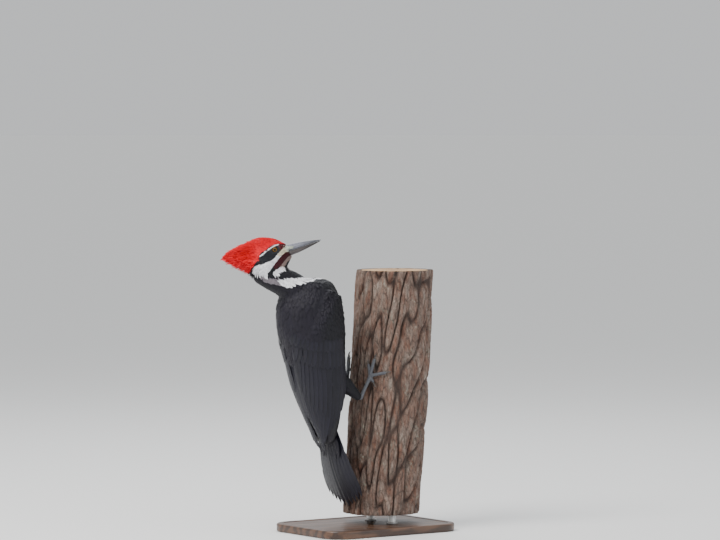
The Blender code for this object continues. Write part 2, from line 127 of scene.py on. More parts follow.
def placeFloor():
    bpy.ops.mesh.primitive_circle_add(vertices=96, radius=roomPlan["floor_radius"], fill_type="NGON")
    floor = bpy.context.object
    floor.name = "floor"
    floor.data.materials.append(Graph("pale_floor", Base_Color=roomPlan["floor"], Roughness=0.9).material)


class Wire:
    # one socket, with arithmetic

    def __init__(self, graph, socket):
        self.graph = graph
        self.socket = socket

    def maths(self, operation, *values):
        return self.graph.node("Math", {"operation": operation}, dict(enumerate(values)))

    def __add__(self, other):
        return self.maths("ADD", self, other)

    def __sub__(self, other):
        return self.maths("SUBTRACT", self, other)

    def __mul__(self, other):
        return self.maths("MULTIPLY", self, other)

    def __pow__(self, other):
        return self.maths("POWER", self, other)

    def __rsub__(self, other):
        return self.maths("SUBTRACT", other, self)

    def __abs__(self):
        return self.maths("ABSOLUTE", self)

    __radd__ = __add__
    __rmul__ = __mul__

    def sine(self):
        return self.maths("SINE", self)

    def ramp(self, low, high, bottom=0.0, top=1.0):
        values = {"Value": self, "From Min": low, "From Max": high, "To Min": bottom, "To Max": top}
        return self.graph.node("MapRange", {"interpolation_type": "SMOOTHSTEP"}, values)

    def parts(self):
        return [self.graph.node("SeparateXYZ", {}, {0: self}, output=i) for i in range(3)]


class Graph:
    # one material, built node by node

    def __init__(self, name, **fixed):
        self.material = bpy.data.materials.new(name)
        self.material.use_nodes = True
        self.tree = self.material.node_tree
        self.shader = self.tree.nodes["Principled BSDF"]
        for socket, value in fixed.items():
            self.feed(socket.replace("_", " "), value)

    def plug(self, socket, value):
        if isinstance(value, Wire):
            self.tree.links.new(value.socket, socket)
        elif socket.type == "RGBA" and len(value) == 3:
            socket.default_value = (*value, 1)
        else:
            socket.default_value = value

    def feed(self, socket, value):
        self.plug(self.shader.inputs[socket], value)

    def node(self, kind, settings, inputs, output=0):
        made = self.tree.nodes.new("ShaderNode" + kind)
        for key, value in settings.items():
            setattr(made, key, value)
        for key, value in inputs.items():
            self.plug(made.inputs[key], value)
        return Wire(self, made.outputs[output])

    def mix(self, factor, a, b):
        return self.node("Mix", {"data_type": "RGBA"}, {0: factor, 6: a, 7: b}, output=2)

    def vector(self, operation, *values, output=0):
        return self.node("VectorMath", {"operation": operation}, dict(enumerate(values)), output)

    def scaled(self, colour, amount):
        return self.node("VectorMath", {"operation": "SCALE"}, {0: colour, "Scale": amount})

    def place(self):
        return self.node("TexCoord", {}, {}, output="Object")

    def tint(self):
        return self.node("Attribute", {"attribute_name": "Tint"}, {}, output="Color")

    def stretched(self, vector, scale):
        return self.node("Mapping", {}, {"Vector": vector, "Scale": scale})

    def noise(self, vector, scale, detail, roughness=0.55):
        values = {"Vector": vector, "Scale": scale, "Detail": detail, "Roughness": roughness}
        return self.node("TexNoise", {}, values)

    def cells(self, vector, scale, feature="F1"):
        values = {"Vector": vector, "Scale": scale}
        return self.node("TexVoronoi", {"feature": feature}, values, output="Distance")

    def finished(self, colour, roughness, height, distance, strength):
        self.feed("Base Color", colour)
        self.feed("Roughness", roughness)
        values = {"Height": height, "Distance": distance, "Strength": strength}
        self.feed("Normal", self.node("Bump", {}, values))
        return self.material


def tone(*display):  # linear light from display values of red, green and blue, 0 to 255
    return tuple(((v / 255 + 0.055) / 1.055) ** 2.4 if v > 10 else v / 255 / 12.92 for v in display)


placeCamera()
placeLights()
placeAir()
placeFloor()
print("camera, lights and floor are in place")


# Places are planned in millimetres: "out" grows away from the log's near face, towards -X, and "left" is +Y

logFace = -12


def world(out, left, height):
    return np.stack(np.broadcast_arrays(logFace - np.asarray(out, float), left, height), -1) * mm


# On the head p runs from the eyes towards the bill's tip, q towards the crown and r to the left
headPlan = {
    "turn": 35,  # degrees to the right of straight back
    "lift": 17,
    "out": 142.2,
    "left": 14,
    "height": 427,
    "eye_side": 12.6,
    "eye_radius": 5.2,
}
headOrigin = world(headPlan["out"], headPlan["left"], headPlan["height"])
turn, lift = math.radians(headPlan["turn"]), math.radians(headPlan["lift"])
facing = np.array((math.cos(turn), -math.sin(turn), 0))
billward = facing * math.cos(lift) + np.array((0, 0, math.sin(lift)))
crownward = np.array((0, 0, math.cos(lift))) - facing * math.sin(lift)
leftward = np.cross(crownward, billward)


def headPlace(p, q, r=0.0):
    p, q, r = (np.asarray(v, float)[..., None] for v in (p, q, r))
    return headOrigin + (billward * p + crownward * q + leftward * r) * mm


def headCoords(points):
    away = (points - headOrigin) / mm
    return away @ billward, away @ crownward, away @ leftward


def smoothStep(value, low, high):
    t = np.clip((value - low) / (high - low), 0, 1)
    return t * t * (3 - 2 * t)


def peak(value, width):
    return np.exp(-((value / width) ** 2))


def between(pair, share):
    return pair[0] + (pair[1] - pair[0]) * share


def readOff(table, value):
    # a table is a list of (place, value) pairs
    return np.interp(value, *zip(*table))


def unit(vectors):
    return vectors / np.maximum(np.linalg.norm(vectors, axis=-1, keepdims=True), 1e-12)


def waves(points, size, seed, count=6):
    # a soft random field, about -1 to 1, whose bumps are about that size
    rng = np.random.default_rng(seed)
    total = np.zeros(points.shape[:-1])
    for _ in range(count):
        way = unit(rng.normal(size=3)) * rng.uniform(0.6, 1.5) * 2 * math.pi / size
        total += np.sin(points @ way + rng.uniform(0, 6.28))
    return total / math.sqrt(count)


def linked(mesh):
    obj = bpy.data.objects.new(mesh.name, mesh)
    bpy.context.scene.collection.objects.link(obj)
    return obj


def solidOf(name, points, faces):
    # a smooth closed mesh whose faces point outwards
    mesh = bpy.data.meshes.new(name)
    mesh.from_pydata(np.asarray(points).tolist(), [], faces)
    mesh.shade_smooth()
    bm = bmesh.new()
    bm.from_mesh(mesh)
    bmesh.ops.recalc_face_normals(bm, faces=bm.faces)
    if bm.calc_volume(signed=True) < 0:
        bmesh.ops.reverse_faces(bm, faces=bm.faces)
    bm.to_mesh(mesh)
    bm.free()
    return linked(mesh)


def onlySelect(*objs):
    bpy.ops.object.select_all(action="DESELECT")
    for obj in objs:
        obj.select_set(True)
    bpy.context.view_layer.objects.active = objs[0]


def applied(obj, kind, **settings):
    onlySelect(obj)
    modifier = obj.modifiers.new(kind.lower(), kind)
    for key, value in settings.items():
        setattr(modifier, key, value)
    bpy.ops.object.modifier_apply(modifier=modifier.name)


def copyOfNode(node, name, swell=0.0):
    # a merged copy of a CAD node's mesh, its surface moved out by swell
    mesh = nodes[node].data.copy()
    mesh.name = name
    mesh.materials.clear()
    bm = bmesh.new()
    bm.from_mesh(mesh)
    bmesh.ops.remove_doubles(bm, verts=bm.verts, dist=1e-6)
    bm.normal_update()
    for vertex, normal in [(v, v.normal.copy()) for v in bm.verts]:
        vertex.co += normal * swell
    bm.to_mesh(mesh)
    bm.free()
    return linked(mesh)


def arrayOf(items, attribute, width, kind=np.float32):
    flat = np.empty(len(items) * width, kind)
    items.foreach_get(attribute, flat)
    return flat.reshape(-1, width)


def coordsOf(mesh):
    return arrayOf(mesh.vertices, "co", 3).astype(float)


def setCoords(mesh, coords):
    mesh.vertices.foreach_set("co", np.asarray(coords, np.float32).ravel())
    mesh.update()


def normalsOf(mesh):
    return arrayOf(mesh.vertex_normals, "vector", 3).astype(float)


def trianglesOf(mesh):
    mesh.calc_loop_triangles()
    return [arrayOf(mesh.loop_triangles, part, 3, np.int32) for part in ("vertices", "loops")]


def spread(values, edges, rounds):
    # each vertex takes on part of its neighbours' mean, several times
    count, kept = len(values), 0.4
    ends = np.concatenate([edges[:, 0], edges[:, 1]])
    others = np.concatenate([edges[:, 1], edges[:, 0]])
    degree = np.maximum(np.bincount(ends, minlength=count), 1)[:, None]
    for _ in range(rounds):
        summed = [np.bincount(ends, values[others, c], minlength=count) for c in range(values.shape[1])]
        values = kept * values + (1 - kept) * np.stack(summed, -1) / degree
    return values


def paintVertices(mesh, colour):
    layer = mesh.attributes.new("Tint", "FLOAT_COLOR", "POINT")
    flat = np.concatenate([colour, np.ones((len(colour), 1))], 1).astype(np.float32)
    layer.data.foreach_set("color", flat.ravel())


def declare(piece, finish, slot, *replaced):
    # every piece rides on the one body
    piece.data.materials.append(finish)
    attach(piece, "root")
    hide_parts(*replaced)
    print(piece.name, "has", len(piece.data.polygons), "faces")


# The plumage's colours, worked out from where a point lies on the bird, with painted light on the back where
# it faces back and up

plumage = {
    "black": tone(20, 20, 26),
    "mask": tone(24, 25, 32),
    # back: black made lighter and bluer, as painted light on surfaces that face back and up
    "back": tone(24, 21, 32),
    "flight": tone(26, 25, 35),
    "red": tone(228, 2, 28),
    "dark_red": tone(84, 10, 22),
    "malar": tone(66, 18, 26),
    "white": tone(244, 244, 248),
    "cream": tone(228, 216, 190),
    "chin": tone(156, 136, 130),
    "tuft": tone(206, 212, 196),
    # grey: the white neck stripe where it runs from the cheek, painted darker as painted shade
    "grey": tone(124, 117, 124),
}

# Outlines on the side of the head, in its own (p, q) millimetres, mirrored from left to right. Where two of
# them meet along a line, they share it
maskEdge = [(6.5, -5), (0, -9), (-5, -12.5), (-10.5, -14), (-18, -14.5), (-25.5, -15.5), (-30.5, -15)]
malarEdge = [(14, -8.5), (8, -11), (4, -13), (-1, -17), (-6.5, -20.5)]
chinEdge = [(30, -13), (21, -15), (16.5, -16), (10.5, -19.5), (7, -22), (2.5, -25.5)]
headMarks = [
    ("red", [(30, -1), (24, 1), (16, 3.5), (11, 6), (7.5, 7), (2, 8), (-4.5, 7), (-10, 5), (-16, 3),
             (-22, 0.5), (-27.5, -3.5), (-31, -7), (-33.5, -10.5), (-36, -13), (-39.5, -16), (-42, -18.5),
             (-45, -21), (-52, -26), (-95, -26), (-95, 60), (40, 60)]),
    ("dark_red", [(30, -1), (24, 1), (16, 4), (10.5, 6.5), (7, 5), (7, 1), (8, -3.5), (13.5, -1),
                  (24, -0.5)]),
    ("mask", [(7, 5), (-5, 1), (-16, -1), (-27, -6), (-31, -8), (-34, -11.5), (-36, -14), *maskEdge[::-1],
              (8, -3.5)]),
    ("white", [(8.5, 6.5), (3, 7), (0, 6.5), (-5, 5), (-9.5, 3.5), (-15, 1.5), (-21, -0.5), (-25, -3),
               (-28, -5), (-27.5, -6), (-24, -4.5), (-20.5, -3), (-16, -0.5), (-10.5, 1.5), (-5, 3.5),
               (-0.5, 5), (3.5, 5.5), (8, 5.5)]),
    ("white", [(13.5, -1), *maskEdge, (-35, -14.5), (-38.5, -17), (-41, -20.5), (-41, -24.5), (-40, -28.5),
               (-36, -33), (-32, -36), (-23, -38), (-20.5, -35.5), (-20, -32), (-17, -28.5), (-13.5, -26),
               (-10.5, -23.5), *malarEdge[::-1]]),
    ("cream", [(14, -1), (6.5, -5), (0.5, -9), (3.5, -13), (8, -11), (14, -8.5), (18, -8.5), (18, -1)]),
    ("tuft", [(40, -1.5), (20, -1.5), (16, -1.5), (16, -8.5), (40, -9)]),
    ("malar", [(30, -8.5), (20.5, -9), *malarEdge, (-9, -22.5), (-9, -29), (-7.5, -28.5), (-3, -26.5),
               *chinEdge[::-1]]),
    ("chin", [*chinEdge, (0, -26), (2.5, -28), (6, -29), (9.5, -27), (12, -23.5), (19.5, -20.5),
              (30, -19)]),
    ("white", [(3, -27.5), (6.5, -30.5), (7, -34.5), (4.5, -36.5), (1, -37.5), (-4, -39.5), (-9, -39.5),
               (-12, -38), (-12.5, -35), (-11, -31.5), (-7.5, -29.5), (-3, -28.5)]),
    # painted shade: the white stripe between the cheek and the neck stripe, in grey
    ("grey", [(-32.5, -35), (-23, -38), (-20, -37.5), (-14.5, -40), (-6.5, -44), (-8, -53), (-15.5, -50),
              (-21.5, -46), (-28, -41)]),
]
# The white stripe on the side of the neck and shoulder: (distance across the bird seen from its side, height)
neckStripe = [(-117, 381), (-111.5, 383), (-105, 384), (-95, 384), (-84, 385), (-77, 387), (-70, 388),
              (-62, 388), (-50, 387), (-50, 382.5), (-55.5, 383), (-62.5, 383), (-68.5, 381), (-74.5, 379.5),
              (-80, 377), (-85, 375), (-89, 373), (-95, 373), (-99, 372), (-102.5, 369.5), (-106, 370),
              (-109.5, 372.5), (-117, 375.5)]
neckMiddle = [(340, 0), (352, 0), (371, 4), (381, 8), (394, 12), (409, 14), (427, 14)]  # (height, left)
markPlan = {
    "head_above": 366,
    "neck_below": 392,
    "seen_from": 35,  # degrees round from the bird's side
    "back": (-0.1, 0.6, 20),  # painted light: how far the back's lighter, bluer tone reaches round the flanks as the surface turns back and up, and fades below the neck
}


def insideOutline(outline, x, y):
    hit = np.zeros(np.shape(x), bool)
    for (x1, y1), (x2, y2) in zip(outline, outline[1:] + outline[:1]):
        if y1 == y2:
            continue
        crosses = (y1 > y) != (y2 > y)
        hit ^= crosses & (x < (x2 - x1) * (y - y1) / (y2 - y1) + x1)
    return hit


def plumageAt(points, normals):
    colour = np.empty(points.shape)
    height = points[..., 2] / mm
    colour[:] = plumage["black"]
    low, high, fade = markPlan["back"]
    # painted light: surfaces that face back and up take the lighter back tone, as if lit from above
    paintedBackLight = smoothStep(-normals[..., 0] + 0.25 * normals[..., 2], low, high)
    paintedBackLight = (paintedBackLight * smoothStep(markPlan["neck_below"] - height, 0, fade))[..., None]
    colour += (np.array(plumage["back"]) - colour) * paintedBackLight
    p, q, _ = headCoords(points)
    for name, outline in headMarks:
        colour[(height > markPlan["head_above"]) & insideOutline(outline, p, q)] = plumage[name]
    turned = math.radians(markPlan["seen_from"])
    middle = readOff(neckMiddle, height)
    side = np.abs(points[..., 1] / mm - middle)
    across = math.cos(turned) * (points[..., 0] / mm - logFace) - math.sin(turned) * (middle - side)
    facingSide = -math.sin(turned) * normals[..., 0] + math.cos(turned) * np.abs(normals[..., 1])
    onNeck = (facingSide > -0.05) & (height < markPlan["neck_below"])
    colour[onNeck & insideOutline(neckStripe, across, height)] = plumage["white"]
    return colour


# One skin under the whole coat

skinPlan = {
    "nodes": ["head", "crest", "neck", "trunk", "wing_left", "wing_right", "thigh_left", "thigh_right"],
    "swell": 0.4,  # closes the gaps between the solids
    "eye_swell": 0.45,
    "voxel": 1.45,
    "smoothing": 5,
    "seam": (0.04, 0.24),  # shares of wing and body between which the wing's edge is softened
    "seam_above": (200, 230),
    "seam_rounds": (40, 90),
    "depth": {"head": 1.0, "crest": 3.2, "neck": 2.2, "trunk": 2.8, "wing": 2.8, "thigh": 1.4, "tail": 2.0},
    "crown": ((8, 14), (-12, 4), 400),  # above these levels, behind these, and above this height
    "crest_above": 385,
    "crest_behind": (20, 42),
    "crest_shrinks": {"from": -22, "along": 0.66, "tall": 0.68, "wide": 0.36},
    "crest_core": [(-77, 9), (-71, 7.2), (-60, 3.4), (-48, 0.5), (-34, -2.5), (-20, -4)],  # (p, q)
    "wing_end": 150,  # below this height the skin is drawn up, clear of the tips of the wings
    "wing_end_drawn_up": 0.3,
}

# Round each eye: an opening, a rolled rim, a groove and a low fold
lidPlan = {
    "middle": 16,  # sideways, for the finer faces and the parting of the feathers
    "finer_within": (11, 8),
    "outside": 8,  # nearer to the head's middle than this nothing moves
    "opening": 3.7,
    "oval": (0.92, 1.06),
    "slant": 0.25,
    "knobs": 22,
    "knob_height": 0.09,
    "rolled": 0.75,
    "sunk": 1.3,
    "groove": 1.5,
    "fold": 2.3,
    "lid_ridge": (0.7, 0.55),  # how far beyond the opening's edge, and its slopes
    "fold_ridge": (3.0, 0.25, 0.35),  # the same, and how much lower than the rim
    "reach": 9.5,
    "blend": 3.4,
}

# Spine of each region as (out, left, height), which its feathers follow, mirrored from left to right
spines = {
    "neck": [(163, 14, 406), (158, 13.5, 398), (152, 12, 391), (137, 8, 381), (120, 4, 371), (103, 0, 352),
             (93, 0, 325)],
    "trunk": [(91, 0, 372), (91, 0, 340), (88, 0, 310), (80, 0, 268), (72, 0, 232), (67, 0, 200),
              (60, 0, 150)],
    "wing": [(80, 44, 366), (84, 53, 340), (82, 52, 300), (76, 47, 255), (69, 40, 215), (64, 28, 165),
             (62, 14, 123)],
    "thigh": [(60, 13, 245), (46, 17.5, 230), (35, 23, 218), (25, 26.5, 209), (17, 28, 200)],
}
spines["tail"] = spines["trunk"]
bodyAxis = [(120, 62), (150, 63), (174, 64), (196, 67), (222, 71), (255, 77), (290, 84), (325, 89.5),
            (350, 91.5), (371, 90.5), (382, 88)]  # (height, out)
liePlan = {
    "blend": 14,
    "crown_axis": 8,  # feathers fan out from a line this far below the eyes
    "fan": (0.75, 20, 16),  # how much, up to which p, and how far behind it the fan fades
    "parting": (1.3, 7),  # how much and how far they part round the eyes
    "chin": (14, 34, 0.5),  # below these levels they turn down by so much
    "belly": 0.3,
    "rounds": 10,
}

# The bend of the wing rises gently from the back
shoulderPlan = {
    "back": [(290, 51), (310, 51), (330, 49.4), (350, 46.2), (363, 41), (377, 31)],  # (height, radius)
    "edge": (290, 35, 0.78),  # the wing's edge: height, degrees from the back's middle, degrees per mm
    "edge_fades": (12, 2),
    "slope": 30,  # degrees over which it rises
    "top": 372,
    "fade": (20, 22),  # millimetres at the bottom and at the top
}


def easedShoulders(points):
    height, side = points[:, 2] / mm, points[:, 1] / mm
    axis = readOff(bodyAxis, height)
    back = logFace - points[:, 0] / mm - axis
    radius = np.maximum(np.hypot(back, side), 1)
    degrees = np.degrees(np.arctan2(np.abs(side), back))
    low, start, rate = shoulderPlan["edge"]
    top, (below, above) = shoulderPlan["top"], shoulderPlan["fade"]
    edge = start + (height - low) * rate
    level = readOff(shoulderPlan["back"], height)
    rise = smoothStep(degrees, edge, edge + shoulderPlan["slope"])
    far, near = shoulderPlan["edge_fades"]
    amount = smoothStep(degrees, edge - far, edge - near) * smoothStep(height, low - below, low)
    amount = amount * smoothStep(top - height, 0, above)
    wanted = level + np.maximum(radius - level, 0) * rise
    scale = 1 + (np.minimum(wanted / radius, 1) - 1) * amount
    eased = world(axis + back * scale, side * scale, height)
    return np.where(((height > low - below) & (height < top))[:, None], eased, points)


def joinedFlesh():
    parts = [copyOfNode(name, name + "_copy", skinPlan["swell"] * mm) for name in skinPlan["nodes"]]
    parts += [copyOfNode(f"eye_{word}", f"eye_{word}_copy", skinPlan["eye_swell"] * mm) for _, word in sides]
    onlySelect(*parts)
    bpy.ops.object.join()
    skin = bpy.context.object
    skin.name = skin.data.name = "skin"
    applied(skin, "REMESH", mode="VOXEL", voxel_size=skinPlan["voxel"] * mm)
    applied(skin, "SMOOTH", factor=0.5, iterations=skinPlan["smoothing"])
    bm = bmesh.new()
    bm.from_mesh(skin.data)
    for side, _ in sides:  # finer faces round the eyes, for the lids
        middle = Vector(headPlace(0, 0, side * lidPlan["middle"]))
        for reach in lidPlan["finer_within"]:
            near = [e for e in bm.edges if ((e.verts[0].co + e.verts[1].co) / 2 - middle).length < reach * mm]
            bmesh.ops.subdivide_edges(bm, edges=near, cuts=1, use_grid_fill=True)
    bmesh.ops.triangulate(bm, faces=[f for f in bm.faces if len(f.verts) > 4])
    bm.to_mesh(skin.data)
    bm.free()
    return skin


def regionsOf(points):
    # the CAD node nearest to each point
    names, corners, triangles, owner = [], [], [], []
    for name in skinPlan["nodes"] + ["tail"]:
        mesh = nodes[name].data
        faces, _ = trianglesOf(mesh)
        triangles.append(faces + sum(len(c) for c in corners))
        corners.append(coordsOf(mesh))
        owner += [len(names)] * len(faces)
        names.append(name)
    tree = BVHTree.FromPolygons(np.concatenate(corners).tolist(), np.concatenate(triangles).tolist())
    found = [owner[tree.find_nearest(p)[2]] for p in points.tolist()]
    return np.array(names)[found]


def alongSpine(points, name):
    # the direction of a region's spine, blended over its nearest stretch
    spine = world(*np.array(spines[name.split("_")[0]], float).T)
    if name.endswith("right"):
        spine[:, 1] *= -1
    ways = unit(np.gradient(spine, axis=0))
    distance = ((points[:, None] - spine[None]) ** 2).sum(-1)
    weight = np.exp(-(distance - distance.min(1, keepdims=True)) / (2 * (liePlan["blend"] * mm) ** 2))
    return unit((weight[..., None] * ways[None]).sum(1))


def lieOfTheCoat(points, normals, region, edges):
    # the way that feathers point, at each vertex
    flow = np.zeros_like(points)
    p, q, r = headCoords(points)
    (amount, start, fade), (parting, reach) = liePlan["fan"], liePlan["parting"]
    axis = np.stack([np.zeros_like(p), q + liePlan["crown_axis"], r], -1)
    fan = unit(axis) * (amount * np.exp(-np.maximum(start - p, 0) / fade))[:, None]
    headWay = fan[:, 1:2] * crownward + fan[:, 2:3] * leftward - billward
    for side, _ in sides:
        away = np.stack([p, q, r - side * lidPlan["middle"]], -1)
        near = peak(np.linalg.norm(away, axis=1), reach)[:, None]
        headWay = headWay + parting * near * (unit(away)[:, :1] * billward + unit(away)[:, 1:2] * crownward)
    isHead = (region == "head") | (region == "crest")
    flow[isHead] = unit(headWay)[isHead]
    high, low, amount = liePlan["chin"]
    chin = isHead & (q < -high)
    flow[chin] = unit(flow[chin] + amount * (-crownward) * smoothStep(-q[chin], high, low)[:, None])
    for name in np.unique(region[~isHead]):
        flow[region == name] = alongSpine(points[region == name], name)
    belly = (region == "trunk") & (normals[:, 0] > liePlan["belly"])
    flow[belly] = unit(flow[belly] + (0, 0, -1.0))
    flow -= normals * (flow * normals).sum(1, keepdims=True)
    for _ in range(liePlan["rounds"]):
        flow = spread(unit(flow), edges, 3)
        flow -= normals * (flow * normals).sum(1, keepdims=True)
    return unit(flow)


class Drape:
    # the coat's outer surface, and at each vertex the skin below it, its normal and the lie of the feathers

    def __init__(self, outer, inner, normals, flow, triangles, unwrap, region):
        self.outer, self.triangles, self.unwrap, self.region = outer, triangles, unwrap, region
        self.layers = {"inner": inner, "normal": normals, "flow": flow}
        self.tree = BVHTree.FromPolygons(outer.tolist(), triangles.tolist())

    def spot(self, points):
        # nearest triangle, weights of its corners and nearest place, for many points
        nearest = self.tree.find_nearest
        hits = [nearest(p) for p in points.reshape(-1, 3).tolist()]
        index = np.array([h[2] for h in hits])
        place = np.array([tuple(h[0]) for h in hits])
        a, b, c = (self.outer[self.triangles[index, i]] for i in range(3))
        u, v, w = b - a, c - a, place - a
        uu, uv, vv = (u * u).sum(1), (u * v).sum(1), (v * v).sum(1)
        wu, wv = (w * u).sum(1), (w * v).sum(1)
        low = np.maximum(uu * vv - uv * uv, 1e-30)
        s, t = (vv * wu - uv * wv) / low, (uu * wv - uv * wu) / low
        weights = np.clip(np.stack([1 - s - t, s, t], -1), 0, 1)
        return index, weights / weights.sum(1, keepdims=True), place

    def at(self, points):
        index, weights, place = self.spot(points)
        found = {name: (values[self.triangles[index]] * weights[..., None]).sum(1).reshape(points.shape)
                 for name, values in self.layers.items()}
        found["normal"] = unit(found["normal"])
        found["outer"] = place.reshape(points.shape)
        return found


def fromEye(p, q):
    return np.hypot(p * lidPlan["oval"][0], q * lidPlan["oval"][1])


def shapeLids(points):
    # lids close round each eyeball
    p, q, r = headCoords(points)
    ball, opening, reach = headPlan["eye_radius"], lidPlan["opening"], lidPlan["reach"]
    distance = fromEye(p, q)
    knobs = lidPlan["knob_height"] * np.sin(np.arctan2(q, p) * lidPlan["knobs"])
    near = (distance < reach) & (np.abs(r) > lidPlan["outside"])
    out = np.abs(r)
    dome = headPlan["eye_side"] + np.sqrt(np.maximum(ball**2 - distance**2, 0))
    edge = opening + lidPlan["slant"] * np.sin(np.arctan2(q, p) * 2 + 0.6)
    rim = headPlan["eye_side"] + math.sqrt((ball + lidPlan["rolled"]) ** 2 - opening**2)
    (ridge, steep), (far, gentle, lower) = lidPlan["lid_ridge"], lidPlan["fold_ridge"]
    lid = rim + knobs - steep * np.abs(distance - edge - ridge)
    fold = rim - lower - gentle * np.abs(distance - edge - far)
    shape = np.where(distance < edge, dome - lidPlan["sunk"], lid)
    shape = np.where(distance > edge + lidPlan["groove"], rim - lidPlan["rolled"], shape)
    shape = np.where(distance > edge + lidPlan["fold"], fold, shape)
    target = out + (shape - out) * smoothStep(reach - distance, 0, lidPlan["blend"])
    moved = points + leftward * ((target - out) * np.sign(r))[:, None] * mm
    return np.where(near[:, None], moved, points)


def skinBelow(outer, normals, region, edges):
    # the coat's depth is taken off everywhere, and the crest keeps only a slim core
    p, q, _ = headCoords(outer)
    depth = np.array([skinPlan["depth"][name.split("_")[0]] for name in region])
    above, behind, height = skinPlan["crown"]
    crown = smoothStep(q, *above) * smoothStep(-p, *behind) * (outer[:, 2] / mm > height)
    depth = depth + (skinPlan["depth"]["crest"] - depth) * crown * (region == "head")
    depth = spread(depth[:, None], edges, 14)[:, 0]
    inner = outer - normals * depth[:, None] * mm
    shrink, core = skinPlan["crest_shrinks"], readOff(skinPlan["crest_core"], p)
    squeeze = smoothStep(-p, *skinPlan["crest_behind"]) * (outer[:, 2] / mm > skinPlan["crest_above"])
    inP, inQ, inR = headCoords(inner)
    inP = inP + (shrink["from"] + (inP - shrink["from"]) * shrink["along"] - inP) * squeeze
    inQ = inQ + (core + (inQ - core) * shrink["tall"] - inQ) * squeeze
    inner = np.where(squeeze[:, None] > 0, headPlace(inP, inQ, inR * (1 - shrink["wide"] * squeeze)), inner)
    inner = spread(inner, edges, 3)
    tips = np.maximum(skinPlan["wing_end"] - inner[:, 2] / mm, 0)
    inner[:, 2] += tips * skinPlan["wing_end_drawn_up"] * mm
    return inner


def makeSkin():
    skin = joinedFlesh()
    mesh = skin.data
    outer, edges = coordsOf(mesh), arrayOf(mesh.edges, "vertices", 2, np.int32)
    region = regionsOf(outer)
    # the wings' edges sink softly into the back and flanks
    isWing = np.char.startswith(region, "wing").astype(float)
    first, second = skinPlan["seam_rounds"]
    share = spread(isWing[:, None], edges, first)
    seam = smoothStep(np.minimum(share, 1 - share), *skinPlan["seam"])
    seam = seam * smoothStep(outer[:, 2:] / mm, *skinPlan["seam_above"])
    outer = easedShoulders(outer)
    outer = outer + (spread(outer, edges, second) - outer) * seam
    setCoords(mesh, outer)
    normals = normalsOf(mesh)
    flow = lieOfTheCoat(outer, normals, region, edges)
    inner = skinBelow(outer, normals, region, edges)
    setCoords(mesh, shapeLids(inner))
    triangles, loops = trianglesOf(mesh)
    onlySelect(skin)
    bpy.ops.object.mode_set(mode="EDIT")
    bpy.ops.mesh.select_all(action="SELECT")
    bpy.ops.uv.smart_project(angle_limit=math.radians(72), island_margin=0.002)
    bpy.ops.object.mode_set(mode="OBJECT")
    layer = mesh.uv_layers.active
    layer.name = "SkinUnwrap"
    unwrap = arrayOf(layer.uv, "vector", 2)[loops]
    paintVertices(mesh, plumageAt(outer, normals))
    mesh.shade_smooth()
    declare(skin, skinFinish(), "feather_black", *skinPlan["nodes"])
    return Drape(outer, inner, normals, flow, triangles, unwrap, region)


def skinFinish():
    g = Graph("bird_skin")
    place = g.place()
    fine = g.noise(place, 900, 2)
    colour = g.scaled(g.tint(), fine.ramp(0.3, 0.7, 0.55, 0.85))
    return g.finished(colour, 0.62, g.cells(place, 1400) + fine * 0.4, 0.0003, 0.6)


drape = makeSkin()


# Feathers are thin closed solids: the upper side is a grid of points, and the lower side hangs below it

# Spacing, length and width in millimetres, each where a region's feathers are smallest and largest
coatPlan = {
    "face": {"spacing": (0.8, 1.5), "length": (2.5, 6.2), "width": (0.85, 2.15), "columns": 2, "rows": 5},
    "neck": {"spacing": (1.9, 3.0), "length": (7.0, 13.5), "width": (2.6, 5.6), "columns": 2, "rows": 6},
    "trunk": {"spacing": (3.3, 5.2), "length": (13.0, 26.0), "width": (6.4, 11.5), "columns": 4, "rows": 7},
    "thigh": {"spacing": (2.2, 3.2), "length": (6.0, 9.5), "width": (2.6, 4.4), "columns": 2, "rows": 5},
    "wing": {"spacing": (2.7, 4.2), "length": (8.0, 15.0), "width": (5.2, 9.0), "columns": 4, "rows": 6},
    "crest": {"spacing": (1.25, 1.75), "length": (11.0, 32.0), "width": (1.3, 2.2), "columns": 2, "rows": 7},
    "thickness": 0.13,
    "length_varies": (0.86, 1.14),
    "width_varies": (0.88, 1.12),
    "tint_varies": (0.86, 1.12),
    "wander": 0.09,  # how far, in radians, a feather strays from the lie of the coat
    "level": (0.02, 1.3),  # between the skin, 0, and the coat's surface, 1
    "tries": 9,  # for each root, when they are scattered
    "off_edge": 1.2,  # millimetres past which a point has left the surface
    "patch": 0.003,  # size of a feather on the bake map
    "sharp": 48,
    "quick": (1.6, 1.5),
}


def scatter(mask, spacing, seed):
    # roots spread evenly over the drape's triangles whose vertices all pass the mask
    local = np.random.default_rng(seed)
    corners = drape.triangles
    usable = np.flatnonzero(mask[corners].all(1))
    a, b, c = (drape.outer[corners[usable, i]] for i in range(3))
    area = 0.5 * np.linalg.norm(np.cross(b - a, c - a), axis=1)
    gap = spacing[corners[usable]].mean(1) * mm
    wanted = area / gap**2
    total = int(wanted.sum() * coatPlan["tries"])
    index = local.choice(len(usable), total, p=wanted / wanted.sum())
    s, t = local.random((2, total))
    flip = s + t > 1
    s, t = np.where(flip, 1 - s, s), np.where(flip, 1 - t, t)
    weights = np.stack([1 - s - t, s, t], -1)
    points = (np.stack([a, b, c], 1)[index] * weights[..., None]).sum(1)
    tree = KDTree(total)
    for i, point in enumerate(points.tolist()):
        tree.insert(point, i)
    tree.balance()
    free = np.ones(total, bool)
    kept = []
    for i, (point, radius) in enumerate(zip(points.tolist(), gap[index].tolist())):
        if free[i]:
            kept.append(i)
            for _, j, _ in tree.find_range(point, radius):
                free[j] = False
    return points[kept]


def bladeWidth(t, tip, root):
    # share of the full width at t along the feather, from a narrow root to a rounded tip
    rise = root + (1 - root) * np.sin(np.clip(t / 0.45, 0, 1) * math.pi / 2)
    fall = np.sqrt(np.clip(1 - np.clip((t - 0.45) / 0.56, 0, 1) ** tip, 0, 1))
    return rise * fall


